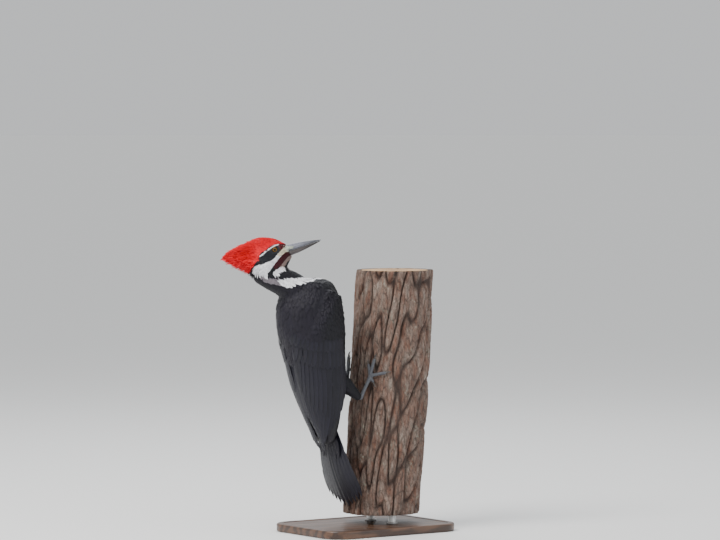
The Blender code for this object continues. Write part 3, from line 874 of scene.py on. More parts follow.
def walk(roots, length, rows, seed, free):
    # centre lines over the outer surface, following the lie of the coat
    stray = np.random.default_rng(seed).normal(0, coatPlan["wander"], len(roots))[:, None]

    def strayed(found):
        return unit(found["flow"] + np.cross(found["normal"], found["flow"]) * stray)

    found = drape.at(roots)
    here, normal, way = found["outer"], found["normal"], strayed(found)
    stride = (length / (rows - 1))[:, None] * mm
    lines = [(here, way, normal)]
    for _ in range(rows - 1):
        ahead = here + way * stride
        found = drape.at(ahead)
        missed = np.linalg.norm(found["outer"] - ahead, axis=1, keepdims=True) > 0.8 * stride
        missed &= free
        here = np.where(missed, ahead, found["outer"])
        normal = np.where(missed, normal, found["normal"])
        way = np.where(missed, way, unit(0.5 * way + strayed(found)))
        way = unit(way - normal * (way * normal).sum(1, keepdims=True) * np.where(missed, 0, 1))
        lines.append((here, way, normal))
    return [np.stack(part, 1) for part in zip(*lines)]


def vaneGrid(spots, ways, normals, half, lift, columns, extra=0.0, tilt=0.0, arch=0.12):
    # the upper side of each vane: points to both sides of its centre line, laid on the skin and the drape
    count, rows = spots.shape[:2]
    across = np.linspace(-1, 1, columns + 1)
    side = unit(np.cross(normals, ways))
    grid = spots[:, :, None] + side[:, :, None] * (half * across)[..., None]
    found = drape.at(grid)
    away = coatPlan["off_edge"]
    gone = np.linalg.norm(found["outer"] - grid, axis=-1, keepdims=True) > away * mm
    outer = np.where(gone, grid, found["outer"])
    inner = np.where(gone, grid - normals[:, :, None] * away * mm, found["inner"])
    up = np.where(gone, normals[:, :, None], found["normal"])
    level = np.broadcast_to(lift, (count, rows))[:, :, None] - arch * across**2
    level = np.clip(level, *coatPlan["level"])
    top = inner + (outer - inner) * level[..., None]
    raised = np.broadcast_to(extra, (count, rows))[:, :, None] + np.asarray(tilt) * across
    return top + up * raised[..., None] * mm, up


def ringFaces(count, rows, size):
    # corners of the sides and of the two end caps of many equal tubes
    k, i = np.meshgrid(np.arange(rows - 1), np.arange(size), indexing="ij")
    j = (i + 1) % size
    quads = np.stack([k * size + i, (k + 1) * size + i, (k + 1) * size + j, k * size + j], -1).reshape(-1, 4)
    caps = np.stack([np.arange(size), (rows - 1) * size + np.arange(size)[::-1]])
    base = np.arange(count)[:, None, None] * rows * size
    return (quads[None] + base).reshape(-1, 4), (caps[None] + base).reshape(-1, size)


def vaneMaps(top, size, rootUV):
    # vane map: millimetres across and along; bake map: a small square where the root is on the skin's unwrap
    count, rows, columns = top.shape[0], top.shape[1], top.shape[2] - 1
    along = np.broadcast_to(np.linspace(0, 1, rows)[None, :, None], (count, rows, size))
    across = np.concatenate([np.linspace(-1, 1, columns + 1), np.linspace(1, -1, columns + 1)[1:-1]])
    across = np.broadcast_to(across, (count, rows, size))
    step = np.linalg.norm(np.diff(top[:, :, columns // 2], axis=1), axis=-1)
    run = np.concatenate([np.zeros((count, 1)), np.cumsum(step, 1)], 1) / mm
    breadth = np.linalg.norm(top[:, :, -1] - top[:, :, 0], axis=-1)[:, :, None] / mm / 2
    vane = np.stack([across * breadth, np.broadcast_to(run[:, :, None], (count, rows, size))], -1)
    patch = rootUV[:, None, None] + np.stack([across / 2, along - 0.5], -1) * coatPlan["patch"]
    return {"VaneMap": vane, "OFBake": patch}


def vaneMesh(name, top, up, thickness, colour, rootUV):
    # closed solids from the grids of many vanes, joined in one mesh
    count, rows, columns = top.shape[0], top.shape[1], top.shape[2] - 1
    size = 2 * columns
    under = top[:, :, 1:-1] - up[:, :, 1:-1] * thickness * mm
    points = np.concatenate([top, under[:, :, ::-1]], 2).reshape(-1, 3)
    quads, caps = ringFaces(count, rows, size)
    loops = np.concatenate([quads.ravel(), caps.ravel()])
    starts = np.concatenate([np.arange(len(quads)) * 4, len(quads) * 4 + np.arange(len(caps)) * size])
    mesh = bpy.data.meshes.new(name)
    for items, attribute, values in ((mesh.vertices, "co", points.astype(np.float32)),
                                     (mesh.loops, "vertex_index", loops.astype(np.int32)),
                                     (mesh.polygons, "loop_start", starts.astype(np.int32))):
        items.add(len(values))
        items.foreach_set(attribute, values.ravel())
    mesh.update(calc_edges=True)
    mesh.shade_smooth()
    mesh.set_sharp_from_angle(angle=math.radians(coatPlan["sharp"]))
    for title, values in vaneMaps(top, size, rootUV).items():
        layer = mesh.uv_layers.new(name=title)
        layer.uv.foreach_set("vector", values.reshape(-1, 2)[loops].astype(np.float32).ravel())
    paint = np.broadcast_to(colour if colour.ndim == 4 else colour[:, None, None], top.shape)
    paintVertices(mesh, np.concatenate([paint, paint[:, :, 1:-1][:, :, ::-1]], 2).reshape(-1, 3))
    return linked(mesh)


def rootPlaces(points):
    # where each root lies on the skin's unwrap, spread over the whole map
    index, weights, _ = drape.spot(points)
    places = (drape.unwrap[index] * weights[..., None]).sum(1)
    low, high = places.min(0), places.max(0)
    return 0.01 + 0.98 * (places - low) / np.maximum(high - low, 1e-6)


def featherFinish(name, gloss, barbScale=0.42, shaft=0.5):
    # barbs run slantwise from the shaft; the colour comes from each feather
    g = Graph(name, Sheen_Weight=0.03, Sheen_Roughness=0.4, Specular_IOR_Level=0.26)
    across, along, _ = g.node("UVMap", {"uv_map": "VaneMap"}, {}).parts()
    out = abs(across)
    barb = ((along * 0.75 - out * 1.15) * (2 * math.pi / barbScale)).sine()
    strand = g.noise(g.place(), 420, 2)
    quill = 1 - out.ramp(0.08 * shaft, 0.34 * shaft)
    shade = 0.93 + barb * 0.06 + strand.ramp(0.3, 0.7, -0.1, 0.13) - quill * 0.12
    rough = strand.ramp(0.25, 0.75, gloss - 0.07, gloss + 0.12)
    return g.finished(g.scaled(g.tint(), shade), rough, barb * 0.35 + quill * 1.5, 0.00012, 0.55)


coatFinish = featherFinish("coat_feathers", 0.5)
flightFinish = featherFinish("flight_feathers", 0.4, 0.6, 1.0)


def sizeAlong(points, kind):
    # 0 where a region's feathers are smallest, 1 where they are largest
    p, q, _ = headCoords(points)
    height = points[:, 2] / mm
    return {
        "face": smoothStep(np.hypot(p - 24, q + 6), 4, 62),
        "crest": smoothStep(16 - p, 0, 62),
        "neck": smoothStep(400 - height, 0, 45),
        "trunk": smoothStep(386 - height, 0, 70),
        "thigh": smoothStep(height, 196, 226),
        "wing": smoothStep(372 - height, 0, 70),
    }[kind]


def eyeGap(points):
    # how far points are, sideways, from the middle of the nearer eye's opening
    p, q, r = headCoords(points)
    return np.where(np.abs(r) > 7, fromEye(p, q), 99)


growthPlan = {
    "lift": (0.06, 1.0),  # level of root and tip
    "rise": 0.75,
    "flare": 0.05,  # how much the tips vary
    "tip": 2.2,  # higher is rounder
    "root": 0.35,
    "colour_at": 0.72,
    "clear": False,  # keeps off the eyes and the bill
    "free": False,  # runs on past the surface's edge
}


def growCoat(name, kind, mask, seed, **changes):
    plan, how = coatPlan[kind], {**growthPlan, **changes}
    spacing = between(plan["spacing"], sizeAlong(drape.outer, kind))
    wider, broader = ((1, 1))
    roots = scatter(mask, spacing * wider, seed)
    local = np.random.default_rng(seed + 1)
    share = sizeAlong(roots, kind)
    length = between(plan["length"], share) * local.uniform(*coatPlan["length_varies"], len(roots))
    width = between(plan["width"], share) * local.uniform(*coatPlan["width_varies"], len(roots)) * broader
    rows = plan["rows"]
    spots, ways, normals = walk(roots, length, rows, seed + 2, how["free"])
    if how["clear"]:
        kept = (eyeGap(spots).min(1) > lidPlan["opening"] + 1.5) & (billGap(spots[:, 0]) > 0.6)
        spots, ways, normals, width = spots[kept], ways[kept], normals[kept], width[kept]
    t = np.linspace(0, 1, rows)
    level = between(how["lift"], t ** how["rise"])[None]
    level = level + local.normal(0, how["flare"], (len(spots), 1)) * t[None]
    half = ((width[:, None] / 2 * bladeWidth(t, how["tip"], how["root"])) * mm)[:, :, None]
    top, up = vaneGrid(spots, ways, normals, half, level, plan["columns"])
    colour = plumageAt(spots[:, int(round(how["colour_at"] * (rows - 1)))], normals[:, -2])
    colour = colour * local.uniform(*coatPlan["tint_varies"], (len(spots), 1))
    return vaneMesh(name, top, up, coatPlan["thickness"], colour, rootPlaces(spots[:, 0]))


billPlan = {
    "rows": [  # (p, half width, ridge above the gape, depth below it)
        (14, 7.6, 9.6, 6.8), (22, 7.2, 9.2, 6.9), (32, 6.2, 8.2, 6.5), (44, 4.8, 6.5, 5.0),
        (56, 3.3, 4.3, 3.1), (64, 2.1, 2.5, 1.6), (69, 1.1, 0.9, 0.5)],
    "gape": ((14, -9.0), (69, -7.2)),
    "lower_shorter": 1.6,
    "gap": 0.35,
    "slices": 44,
    "around": 20,
    "upper": (106, 108, 119),
    "lower": (76, 69, 69),
    "tip_darker": 0.62,
}


def billSection(p):
    # the gape's level, half the width, the ridge above the gape and the depth below it
    stations, *sizes = np.array(billPlan["rows"]).T
    (p0, q0), (p1, q1) = billPlan["gape"]
    return [q0 + (q1 - q0) * (p - p0) / (p1 - p0)] + [np.interp(p, stations, size) for size in sizes]


def billGap(points):
    # rough distance outside the bill's base
    p, q, r = headCoords(points)
    gape, half, ridge, deep = billSection(p)
    tall = np.where(q > gape, ridge, deep)
    return np.where(p > 15, (np.hypot(r / half, (q - gape) / tall) - 1) * 6, 99)


# Head, neck, body and thighs

region, level = drape.region, drape.outer[:, 2] / mm
headP, headQ, _ = headCoords(drape.outer)
areaPlan = {
    "eye_clear": 5.0,
    "crest_behind": (14, 30),
    "crest_over": (0.45, 24, 6),  # a sloping line: rise, level behind the eyes and softness
    "crown": (9, 16),  # above this level, behind this place
    "face_behind": (4, 0.6),  # behind this place the face gives way to the crest
    "neck_above": 376,
}
(rise, below, soft), (above, ahead) = areaPlan["crest_over"], areaPlan["crown"]
isHead = ((region == "head") | (region == "crest")) & (eyeGap(drape.outer) > areaPlan["eye_clear"])
isCrest = (level > skinPlan["crest_above"]) * smoothStep(-headP, *areaPlan["crest_behind"])
isCrest = isCrest * smoothStep(headQ + headP * rise + below, 0, soft)
isCrown = isHead & ((isCrest > 0.5) | ((headQ > above) & (headP < ahead)))
ahead, share = areaPlan["face_behind"]
isFace = isHead & ~(isCrown & (headP < ahead) & (isCrest > share))
isNeck = (region == "neck") | ((region == "trunk") & (level > areaPlan["neck_above"]))

coats = [  # piece, kind, where it grows, seed, slot, nodes that it replaces, what differs in its growth
    ("coat_face", "face", isFace, 100, "feather_head", ["head"],
     {"lift": (0.05, 1.05), "flare": 0.1, "clear": True, "colour_at": 0.8}),
    ("coat_neck", "neck", isNeck, 200, "feather_head", ["neck"], {"flare": 0.07}),
    ("coat_trunk", "trunk", region == "trunk", 300, "feather_black", ["trunk"],
     {"lift": (0.05, 1.02), "flare": 0.06}),
    ("coat_thighs", "thigh", np.char.startswith(region, "thigh"), 400, "feather_black",
     ["thigh_left", "thigh_right"], {}),
    ("coat_crest", "crest", isCrown, 500, "feather_red", ["crest"],
     {"lift": (0.1, 1.0), "flare": 0.06, "clear": True, "free": True, "tip": 1.4, "root": 0.6, "rise": 0.9}),
]
for name, kind, mask, seed, slot, replaced, growth in coats:
    declare(growCoat(name, kind, mask, seed, **growth), coatFinish, slot, *replaced)


# Bristle feathers that lie forward over the nostrils

tuftPlan = {
    "count": 110,  # on each side
    "root": ((9.5, 15.0), (-6.2, 2.2)),  # ranges of p and q
    "side": 9,
    "tip": (-6.6, -2.8),  # range of q
    "arch": (0.45, 1.5, 1.1),  # share of the length over which they rise, by how much, and from how deep
    "loose": (-0.2, 0.6),
    "length": (6, 15),
    "width": 0.5,
    "rows": 6,
}


def onBill(p, q):
    # half width of the upper bill at that level
    gape, half, ridge, _ = billSection(p)
    return half * np.sqrt(1 - np.clip((q - gape) / ridge, 0, 0.98) ** 2)


def growTufts():
    local = np.random.default_rng(951)
    count = tuftPlan["count"]
    t = np.linspace(0, 1, tuftPlan["rows"])[None]
    rising, high, deep = tuftPlan["arch"]
    tops, ups = [], []
    for side, _ in sides:
        root = [local.uniform(*span, count) for span in tuftPlan["root"]]
        spot = headPlace(*root, side * tuftPlan["side"])
        p, q, r = (v[:, None] for v in headCoords(drape.at(spot)["outer"]))
        ahead = p + local.uniform(*tuftPlan["length"], (count, 1)) * t
        level = q + (local.uniform(*tuftPlan["tip"], (count, 1)) - q) * t
        lifted = high * smoothStep(t, 0, rising) - deep
        lifted = lifted + local.uniform(*tuftPlan["loose"], (count, 1)) * np.sin(t * 2.6)
        out = side * (np.abs(r) * (1 - t) ** 1.5 + onBill(ahead, level) * (1 - (1 - t) ** 1.5) + lifted)
        middle = headPlace(ahead, level, out)
        up = np.broadcast_to(unit(leftward * side + crownward * 0.35), middle.shape)
        beside = unit(np.cross(up, np.gradient(middle, axis=1)))
        wide = tuftPlan["width"] / 2 * bladeWidth(t, 1.2, 0.7)[..., None] * mm
        tops.append(np.stack([middle + beside * wide * c - up * abs(c) * 0.06 * mm for c in (-1, 0, 1)], 2))
        ups.append(np.repeat(up[:, :, None], 3, 2))
    top, up = np.concatenate(tops), np.concatenate(ups)
    colour = np.array(plumage["tuft"]) * local.uniform(0.72, 1.05, (len(top), 1))
    places = rootPlaces(top[:, 0, 1])
    tufts = vaneMesh("coat_bristles", top, up, coatPlan["thickness"], colour, places)
    declare(tufts, coatFinish, "feather_head", "head")


growTufts()


# Folded wings. Each row of long feathers: tips and roots as (height, degrees from the middle of the back)

wingPlan = {
    "primaries": {
        "tip": [(123, 24), (126, 33), (131, 43), (139, 54), (149, 66), (160, 80), (172, 95), (186, 106),
                (204, 114)],
        "root": [(300, 66), (300, 72), (300, 79), (302, 86), (304, 92), (306, 98), (308, 104), (310, 109),
                (312, 113)],
        "width": 13.5, "lift": 1.0, "tilt": 0.42, "extra": 0.0, "point": 1.7, "rise": (0.2, 0.75),
    },
    "secondaries": {
        "tip": [(214, 8), (206, 14), (198, 21), (191, 28), (185, 36), (181, 45), (178, 55), (177, 66)],
        "root": [(322, 24), (318, 30), (314, 37), (310, 44), (307, 51), (304, 58), (302, 65), (300, 72)],
        "width": 15.5, "lift": 1.02, "tilt": 0.42, "extra": 0.35, "point": 2.6, "rise": (0.2, 0.75),
    },
    "greater_coverts": {
        "tip": [(262, 13), (260, 21), (258, 30), (256, 39), (254, 48), (252, 57), (251, 66), (250, 75),
                (250, 84), (251, 93), (253, 102), (257, 110)],
        "root": [(316, 30), (313, 37), (311, 44), (309, 51), (307, 58), (306, 65), (305, 72), (304, 79),
                (304, 87), (305, 95), (306, 103), (308, 110)],
        "width": 13, "lift": 1.0, "tilt": 0.35, "extra": 0.25, "point": 3.0, "rise": (0.15, 0.8),
    },
    "median_coverts": {
        "tip": [(286, 15), (284, 23), (282, 31), (280, 39), (278, 47), (277, 55), (276, 63), (275, 71),
                (275, 79), (276, 87), (278, 95), (280, 103), (284, 110)],
        "root": [(326, 30), (323, 36), (321, 42), (319, 48), (317, 55), (316, 62), (315, 69), (314, 76),
                (314, 84), (315, 91), (316, 98), (318, 105), (320, 111)],
        "width": 12, "lift": 1.0, "tilt": 0.3, "extra": 0.4, "point": 3.0, "rise": (0.25, 0.9),
    },
    "tertials": {
        "tip": [(172, 2), (162, 6), (152, 9), (143, 12), (135, 15), (129, 18), (125, 21)],
        "root": [(300, 10), (302, 18), (304, 26), (304, 34), (303, 42), (302, 50), (300, 58)],
        "width": 14, "lift": 1.0, "tilt": 0.42, "extra": 0.15, "point": 2.2, "rise": (0.2, 0.75),
    },
    "lift": 0.05,  # level of the roots between the skin, 0, and the coat's surface, 1
    "rows": 18,
    "columns": 8,
    "thickness": 0.3,
    "over": 0.3,  # how much higher the left wing lies where it crosses the right one
    "sweep": 1.25,  # more than 1: the feathers bend towards the back near their tips
    "arch": 0.02,
    "rib": (0.14, 0.22, 0.6),  # the shaft's width, height and how much lower it is at the tip
    "pale_edge": 0.45,
    "dark_shaft": (0.12, 0.3),
    "tint_varies": (0.85, 1.15),
    "lesser_coverts_above": 304,
}


def onWing(height, degrees, side):
    # the drape's surface, met from outside on a level line towards the body's axis
    out = readOff(bodyAxis, height)
    angle = np.radians(degrees)
    reach = 90
    start = world(out + np.cos(angle) * reach, side * np.sin(angle) * reach, height)
    middle = world(out, side * 2.0, height)
    found = []
    for a, b in zip(start.reshape(-1, 3), middle.reshape(-1, 3)):
        hit, *_ = drape.tree.ray_cast(Vector(a), Vector(b - a).normalized(), 0.12)
        if hit is None:
            hit, *_ = drape.tree.find_nearest(Vector(b * 0.7 + a * 0.3))
        found.append(tuple(hit))
    return np.array(found).reshape(start.shape)


def nicks(count, rows, columns, seed, amount=0.16):
    # small places where the barbs have parted, as a share of the half width
    local = np.random.default_rng(seed)
    factor = np.ones((count, rows, columns + 1))
    for i in range(count):
        for _ in range(local.integers(1, 4)):
            row = local.integers(rows // 3, rows - 2)
            edge = 0 if local.random() < 0.5 else columns
            factor[i, row, edge] -= local.uniform(0.4, 1) * amount
    return factor


def flightGrid(plan, side, seed):
    # one row of long feathers: their roots, grids, normals and colours
    rows, columns = wingPlan["rows"], wingPlan["columns"]
    tips, roots = np.array(plan["tip"], float), np.array(plan["root"], float)
    count = len(tips)
    t = np.linspace(0, 1, rows)[None, :]
    height = roots[:, :1] + (tips[:, :1] - roots[:, :1]) * t
    degrees = roots[:, 1:] + (tips[:, 1:] - roots[:, 1:]) * t ** wingPlan["sweep"]
    spots = onWing(height, degrees, side)
    ways = unit(np.gradient(spots, axis=1))
    level = between((wingPlan["lift"], plan["lift"]), smoothStep(t, *plan["rise"]))
    half = (plan["width"] / 2 * bladeWidth(t, plan["point"], 0.4) * mm)[..., None]
    half = half * nicks(count, rows, columns, seed)
    extra = plan["extra"] * t + wingPlan["over"] * (side > 0)
    top, up = vaneGrid(spots, ways, drape.at(spots)["normal"], half, level, columns, extra=extra,
                       tilt=-side * plan["tilt"], arch=wingPlan["arch"])
    c = np.linspace(-1, 1, columns + 1)
    (wide, high, lower), (narrow, darker) = wingPlan["rib"], wingPlan["dark_shaft"]
    rib = peak(c, wide) * high
    top = top + up * (rib[None, None] * (1 - lower * t[0])[None, :, None])[..., None] * mm
    local = np.random.default_rng(seed + 50)
    shade = 1 + wingPlan["pale_edge"] * (np.abs(c) ** 3)[None, :] * smoothStep(t[0], 0.3, 0.9)[:, None]
    shade = shade - darker * peak(c, narrow)[None, :]
    varied = local.uniform(*wingPlan["tint_varies"], (count, 1, 1, 1))
    colour = np.array(plumage["flight"]) * shade[None, :, :, None] * varied
    return spots[:, 0], top, up, colour


for side, word in sides:
    rowNames = ("primaries", "tertials", "secondaries", "greater_coverts", "median_coverts")
    grids = [flightGrid(wingPlan[row], side, 600 + side + number) for number, row in enumerate(rowNames)]
    roots, top, up, colour = (np.concatenate(part) for part in zip(*grids))
    flight = vaneMesh(f"flight_{word}", top, up, wingPlan["thickness"], colour, rootPlaces(roots))
    declare(flight, flightFinish, "feather_black", f"wing_{word}")
    mask = (region == f"wing_{word}") & (level > wingPlan["lesser_coverts_above"])
    lesser = growCoat(f"coat_wing_{word}", "wing", mask, 700 + side, lift=(0.1, 1.12))
    declare(lesser, coatFinish, "feather_black", f"wing_{word}")


# Tail: ten stiff feathers in a fan bent towards the log, the middle pair on top, and the coverts at its root

tailPlan = {
    "root": (64, 184),
    "lean": [(0, 8), (0.45, 13), (0.75, 24), (1, 29)],  # (share of the length, degrees from upright)
    "length": 152,
    "half_width": [(0, 12), (0.25, 19.5), (0.6, 35), (1, 52)],
    "thickness": [(0, 7), (0.35, 4.4), (1, 2.2)],
    "pairs": 5,
    "shorter": 0.13,  # how much shorter the outermost pair is
    "hollow": 5,
    "vane": 19,  # widest part of one feather
    "narrower": 0.18,  # how much narrower the outermost pair is
    "stack": (0.95, 0.42, 0.06),  # level of the middle pair, the drop from pair to pair, and left over right
    "nicks": 0.22,
    "rib": (0.11, 0.75, 0.5),  # the shaft's width, height and how much lower it is at the tip
    "vane_thickness": 0.38,
    "outline": [(0, 0.3), (0.12, 0.62), (0.6, 1), (0.85, 0.97), (0.94, 0.74), (0.98, 0.44), (1, 0.12)],
    "rows": 30,
    "columns": 12,
}

tailCovertPlan = {
    "sides": {"upper": (1, 28, 0.5), "under": (-1, 34, 0.36)},  # side of the tail, count, reach along it
    "layers": 4,
    "rows": 9,
    "columns": 4,
    "width": (10, 13),
    "length": (0.22, 0.27),  # share of the tail's length
    "thickness": 0.25,
}


def tailPlace(share, across, lift):
    # share along the tail, millimetres to the left, millimetres above its middle surface
    steps = np.linspace(-0.15, 1, 240)
    lean = np.radians(readOff(tailPlan["lean"], steps))
    stride = tailPlan["length"] * (steps[1] - steps[0])
    zero = np.argmin(np.abs(steps))
    outs = -np.cumsum(np.sin(lean)) * stride
    downs = -np.cumsum(np.cos(lean)) * stride
    outs += tailPlan["root"][0] - outs[zero]
    downs += tailPlan["root"][1] - downs[zero]
    out, height, angle = (np.interp(share, steps, v) for v in (outs, downs, lean))
    half = readOff(tailPlan["half_width"], share)
    inwards = tailPlan["hollow"] * (across / half) ** 2 * np.clip(share, 0, 1) - lift
    return world(out - np.cos(angle) * inwards, across, height + np.sin(angle) * inwards)


def tailVanes(start, end, across, width, lift, shape, columns, camber=0.5, curl=0.0):
    # grids of vanes on the tail's surface; across is a share of its half width
    t = np.linspace(0, 1, len(shape))[None, :, None]
    c = np.linspace(-1, 1, columns + 1)[None, None, :]
    values = (start, end, across, width, lift)
    start, end, across, width, lift = (np.asarray(v, float)[:, None, None] for v in values)
    share = start + (end - start) * t
    middle = across * readOff(tailPlan["half_width"], share)
    beside = middle + c * width / 2 * shape[None, :, None]
    slide = np.abs(c) ** 1.6 * 0.05 * shape[None, :, None]
    rise = lift * readOff(tailPlan["thickness"], share) / 2 - camber * c**2 + curl * t**3
    return tailPlace(share - slide, beside, rise)


def gridNormals(top, outside):
    normal = unit(np.cross(np.gradient(top, axis=1), np.gradient(top, axis=2)))
    return np.where((normal * outside).sum(-1, keepdims=True) < 0, -normal, normal)


def goldenUV(count, seed):
    # few feathers share the whole map, on a spiral
    turns = np.arange(count) * 2.399963 + seed
    radius = np.sqrt((np.arange(count) + 0.5) / count) * 0.49
    radius[-1] = 0.49
    return np.stack([0.5 + np.cos(turns) * radius, 0.5 + np.sin(turns) * radius], -1)


def makeTailFeathers():
    rows, columns, pairs = tailPlan["rows"], tailPlan["columns"], tailPlan["pairs"]
    count = 2 * pairs
    across = np.array([s * (k + 0.5) / pairs for k in range(pairs) for s in (-1, 1)])
    layer = np.repeat(np.arange(pairs, dtype=float), 2)
    end = 1 - tailPlan["shorter"] * np.abs(across) ** 1.6 - 0.006 * np.arange(count) % 0.013
    t, c = np.linspace(0, 1, rows), np.linspace(-1, 1, columns + 1)
    first, drop, over = tailPlan["stack"]
    lift = first - drop * layer + over * (across > 0)
    width = tailPlan["vane"] * (1 - tailPlan["narrower"] * np.abs(across))
    shape = readOff(tailPlan["outline"], t)
    top = tailVanes(np.full(count, -0.04), end, across, width, lift, shape, columns)
    centre = top[:, :, columns // 2][:, :, None]
    top = centre + (top - centre) * nicks(count, rows, columns, 812, tailPlan["nicks"])[..., None]
    normal = gridNormals(top, (-1.0, 0, 0.2))
    wide, high, lower = tailPlan["rib"]
    rib = peak(c, wide)[None, None, :] * (high - lower * t)[None, :, None]
    top = (top + normal * rib[..., None] * mm)[:, :, ::-1]
    # darker along the shaft, and paler along the edges towards the tip
    local = np.random.default_rng(813)
    shade = 1 + 0.25 * np.abs(c[None]) ** 3 * smoothStep(t, 0.4, 1)[:, None] - 0.45 * peak(c[None], 0.16)
    shade = shade * (1 + 0.05 * np.sin(t[:, None] * 41 + c[None] * 3))
    varied = local.uniform(*coatPlan["tint_varies"], (count, 1, 1, 1))
    colour = np.array(plumage["flight"]) * shade[None, :, :, None] * varied
    long = vaneMesh("tail_feathers", top, normal[:, :, ::-1], tailPlan["vane_thickness"], colour,
                    goldenUV(count, 0.3))
    declare(long, flightFinish, "feather_black", "tail")


def makeTailCoverts():
    plan, local = tailCovertPlan, np.random.default_rng(811)
    for name, (side, count, reach) in plan["sides"].items():
        layers, each = plan["layers"], math.ceil(count / plan["layers"])
        layer = np.repeat(np.linspace(0, 1, layers), each)[:count][::-1]
        place = np.concatenate([np.linspace(-0.82, 0.82, each) + 0.1 * (k % 2) for k in range(layers)])
        place = place[:count]
        end = reach - 0.09 * layer - 0.05 * np.abs(place) + local.uniform(-0.01, 0.01, count)
        start = end - local.uniform(*plan["length"], count)
        shape = bladeWidth(np.linspace(0, 1, plan["rows"]), 2.0, 0.5)
        width = local.uniform(*plan["width"], count)
        lift = side * (1.1 + 0.3 * layer)
        grid = tailVanes(start, end, place, width, lift, shape, plan["columns"], side * 0.5, side * -0.35)
        up = gridNormals(grid, (-side, 0, 0))
        if side > 0:  # the columns run the other way round, so that the faces point outwards
            grid, up = grid[:, :, ::-1], up[:, :, ::-1]
        # the coverts take the back's tone: black made lighter and bluer as painted light
        colour = np.array(plumage["back"])[None] * local.uniform(0.75, 1.0, (count, 1))
        coverts = vaneMesh(f"tail_coverts_{name}", grid, up, plan["thickness"], colour, goldenUV(count, 1.1))
        declare(coverts, coatFinish, "feather_black", "tail")


makeTailFeathers()
makeTailCoverts()


# Bill: two halves that meet along the gape, with a sharp ridge on top and a low ridge along each side


def billFinish():
    g = Graph("bill_horn", Coat_Weight=0.12)
    place = g.place()
    streak = g.noise(g.stretched(place, (60, 60, 60)), 9, 4)
    grain = g.noise(place, 700, 2)
    colour = g.scaled(g.tint(), 0.82 + streak.ramp(0.3, 0.7, -0.08, 0.2) + grain * 0.14)
    return g.finished(colour, streak.ramp(0.3, 0.7, 0.3, 0.46), grain + streak * 2, 0.00012, 0.5)


def loft(name, rings):
    # a closed skin over equal rings of points: the first is capped and the last is a single point
    count = len(rings[0])
    tip = (len(rings) - 1) * count
    pairs = [(i, (i + 1) % count) for i in range(count)]
    faces = [(a + i, a + count + i, a + count + j, a + j)
             for a in range(0, tip - count, count) for i, j in pairs]
    faces += [(tip - count + i, tip, tip - count + j) for i, j in pairs]
    return solidOf(name, np.concatenate(rings), faces + [tuple(range(count))])


def bothEdges(turns, place, width):
    # 1 at that angle above either edge of the gape
    return peak(turns - place, width) + peak(math.pi - turns - place, width)


def billHalf(name, upper):
    sign, around = (1 if upper else -1), billPlan["around"]
    first, last = billPlan["rows"][0][0], billPlan["rows"][-1][0]
    shares = 1 - (1 - np.linspace(0, 1, billPlan["slices"])) ** 1.25
    stations = first + (last - (0 if upper else billPlan["lower_shorter"]) - first) * shares
    gape, half, ridge, deep = billSection(stations)
    turns = np.pi * np.arange(around + 1) / around
    keel = np.cos(turns)
    out = np.sign(keel) * np.abs(keel) ** (1.0 if upper else 1.1)
    rise = np.sin(turns) ** (1.12 if upper else 0.95)
    relief = 0.05 * bothEdges(turns, 0.62, 0.16) - 0.05 * bothEdges(turns, 1.0, 0.2)
    lip = 1 + 0.008 * bothEdges(turns, 0, 0.12)
    rings, paints = [], []
    for p, q, wide, tall, t in zip(stations, gape, half, ridge if upper else deep, shares):
        scale = 1 + relief * (1 - smoothStep(t, 0.45, 0.9)) * (1 if upper else 0.5)
        rings.append(headPlace(np.full(around + 1, p), q + sign * (billPlan["gap"] / 2 + rise * tall * scale),
                               out * wide * scale * lip))
        colour = np.array(tone(*billPlan["upper" if upper else "lower"]))
        colour = colour * (1 - billPlan["tip_darker"] * smoothStep(t, 0.3, 0.85))
        # painted shadow: each half is darker along its edge at the gape, where the two halves meet
        paints.append(colour * (1 - 0.62 * peak(rise, 0.16))[:, None])
    rings.append(np.mean(rings[-1], axis=0, keepdims=True) + billward * 0.35 * mm)
    bill = loft(name, rings)
    paintVertices(bill.data, np.concatenate(paints + [paints[-1][:1]]))
    return bill


def makeBill():
    finish = billFinish()
    for name, node in (("bill_top", "bill_upper"), ("bill_bottom", "bill_lower")):
        declare(billHalf(name, node == "bill_upper"), finish, "bill", node)


makeBill()


# Eyes

eyePlan = {
    "pupil": 1.95,
    "iris": 3.35,
    "bulge": 0.28,
    "segments": 56,
    "rings": 40,
    # dark and amber in the iris, its rim, its flecks, the ball and the pupil
    "tones": ((92, 62, 17), (142, 100, 29), (58, 36, 16), (110, 66, 18), (34, 30, 30), (9, 9, 10)),
}


def eyeFinish(name, middle, axis):
    g = Graph(name, Roughness=0.06, Specular_IOR_Level=0.08, Coat_Weight=0.7, Coat_IOR=1.33,
              Coat_Roughness=0.02)
    pupil, iris = eyePlan["pupil"], eyePlan["iris"]
    dark, amber, rim, fleck, ball, black = (tone(*shade) for shade in eyePlan["tones"])
    sideways = g.vector("CROSS_PRODUCT", g.vector("SUBTRACT", g.place(), tuple(middle)), tuple(axis))
    distance = g.vector("LENGTH", sideways, output="Value") * 1000
    fibre = g.noise(g.vector("NORMALIZE", sideways), 9, 3)
    flecks = g.noise(g.place(), 2200, 2)
    colour = g.mix(fibre.ramp(0.35, 0.65), dark, amber)
    colour = g.mix(distance.ramp(iris - 0.7, iris), colour, rim)
    colour = g.mix(flecks.ramp(0.6, 0.75, 0, 0.4), colour, fleck)
    colour = g.mix(distance.ramp(pupil - 0.12, pupil + 0.12), black, colour)
    g.feed("Base Color", g.mix(distance.ramp(iris, iris + 0.2), colour, ball))
    return g.material


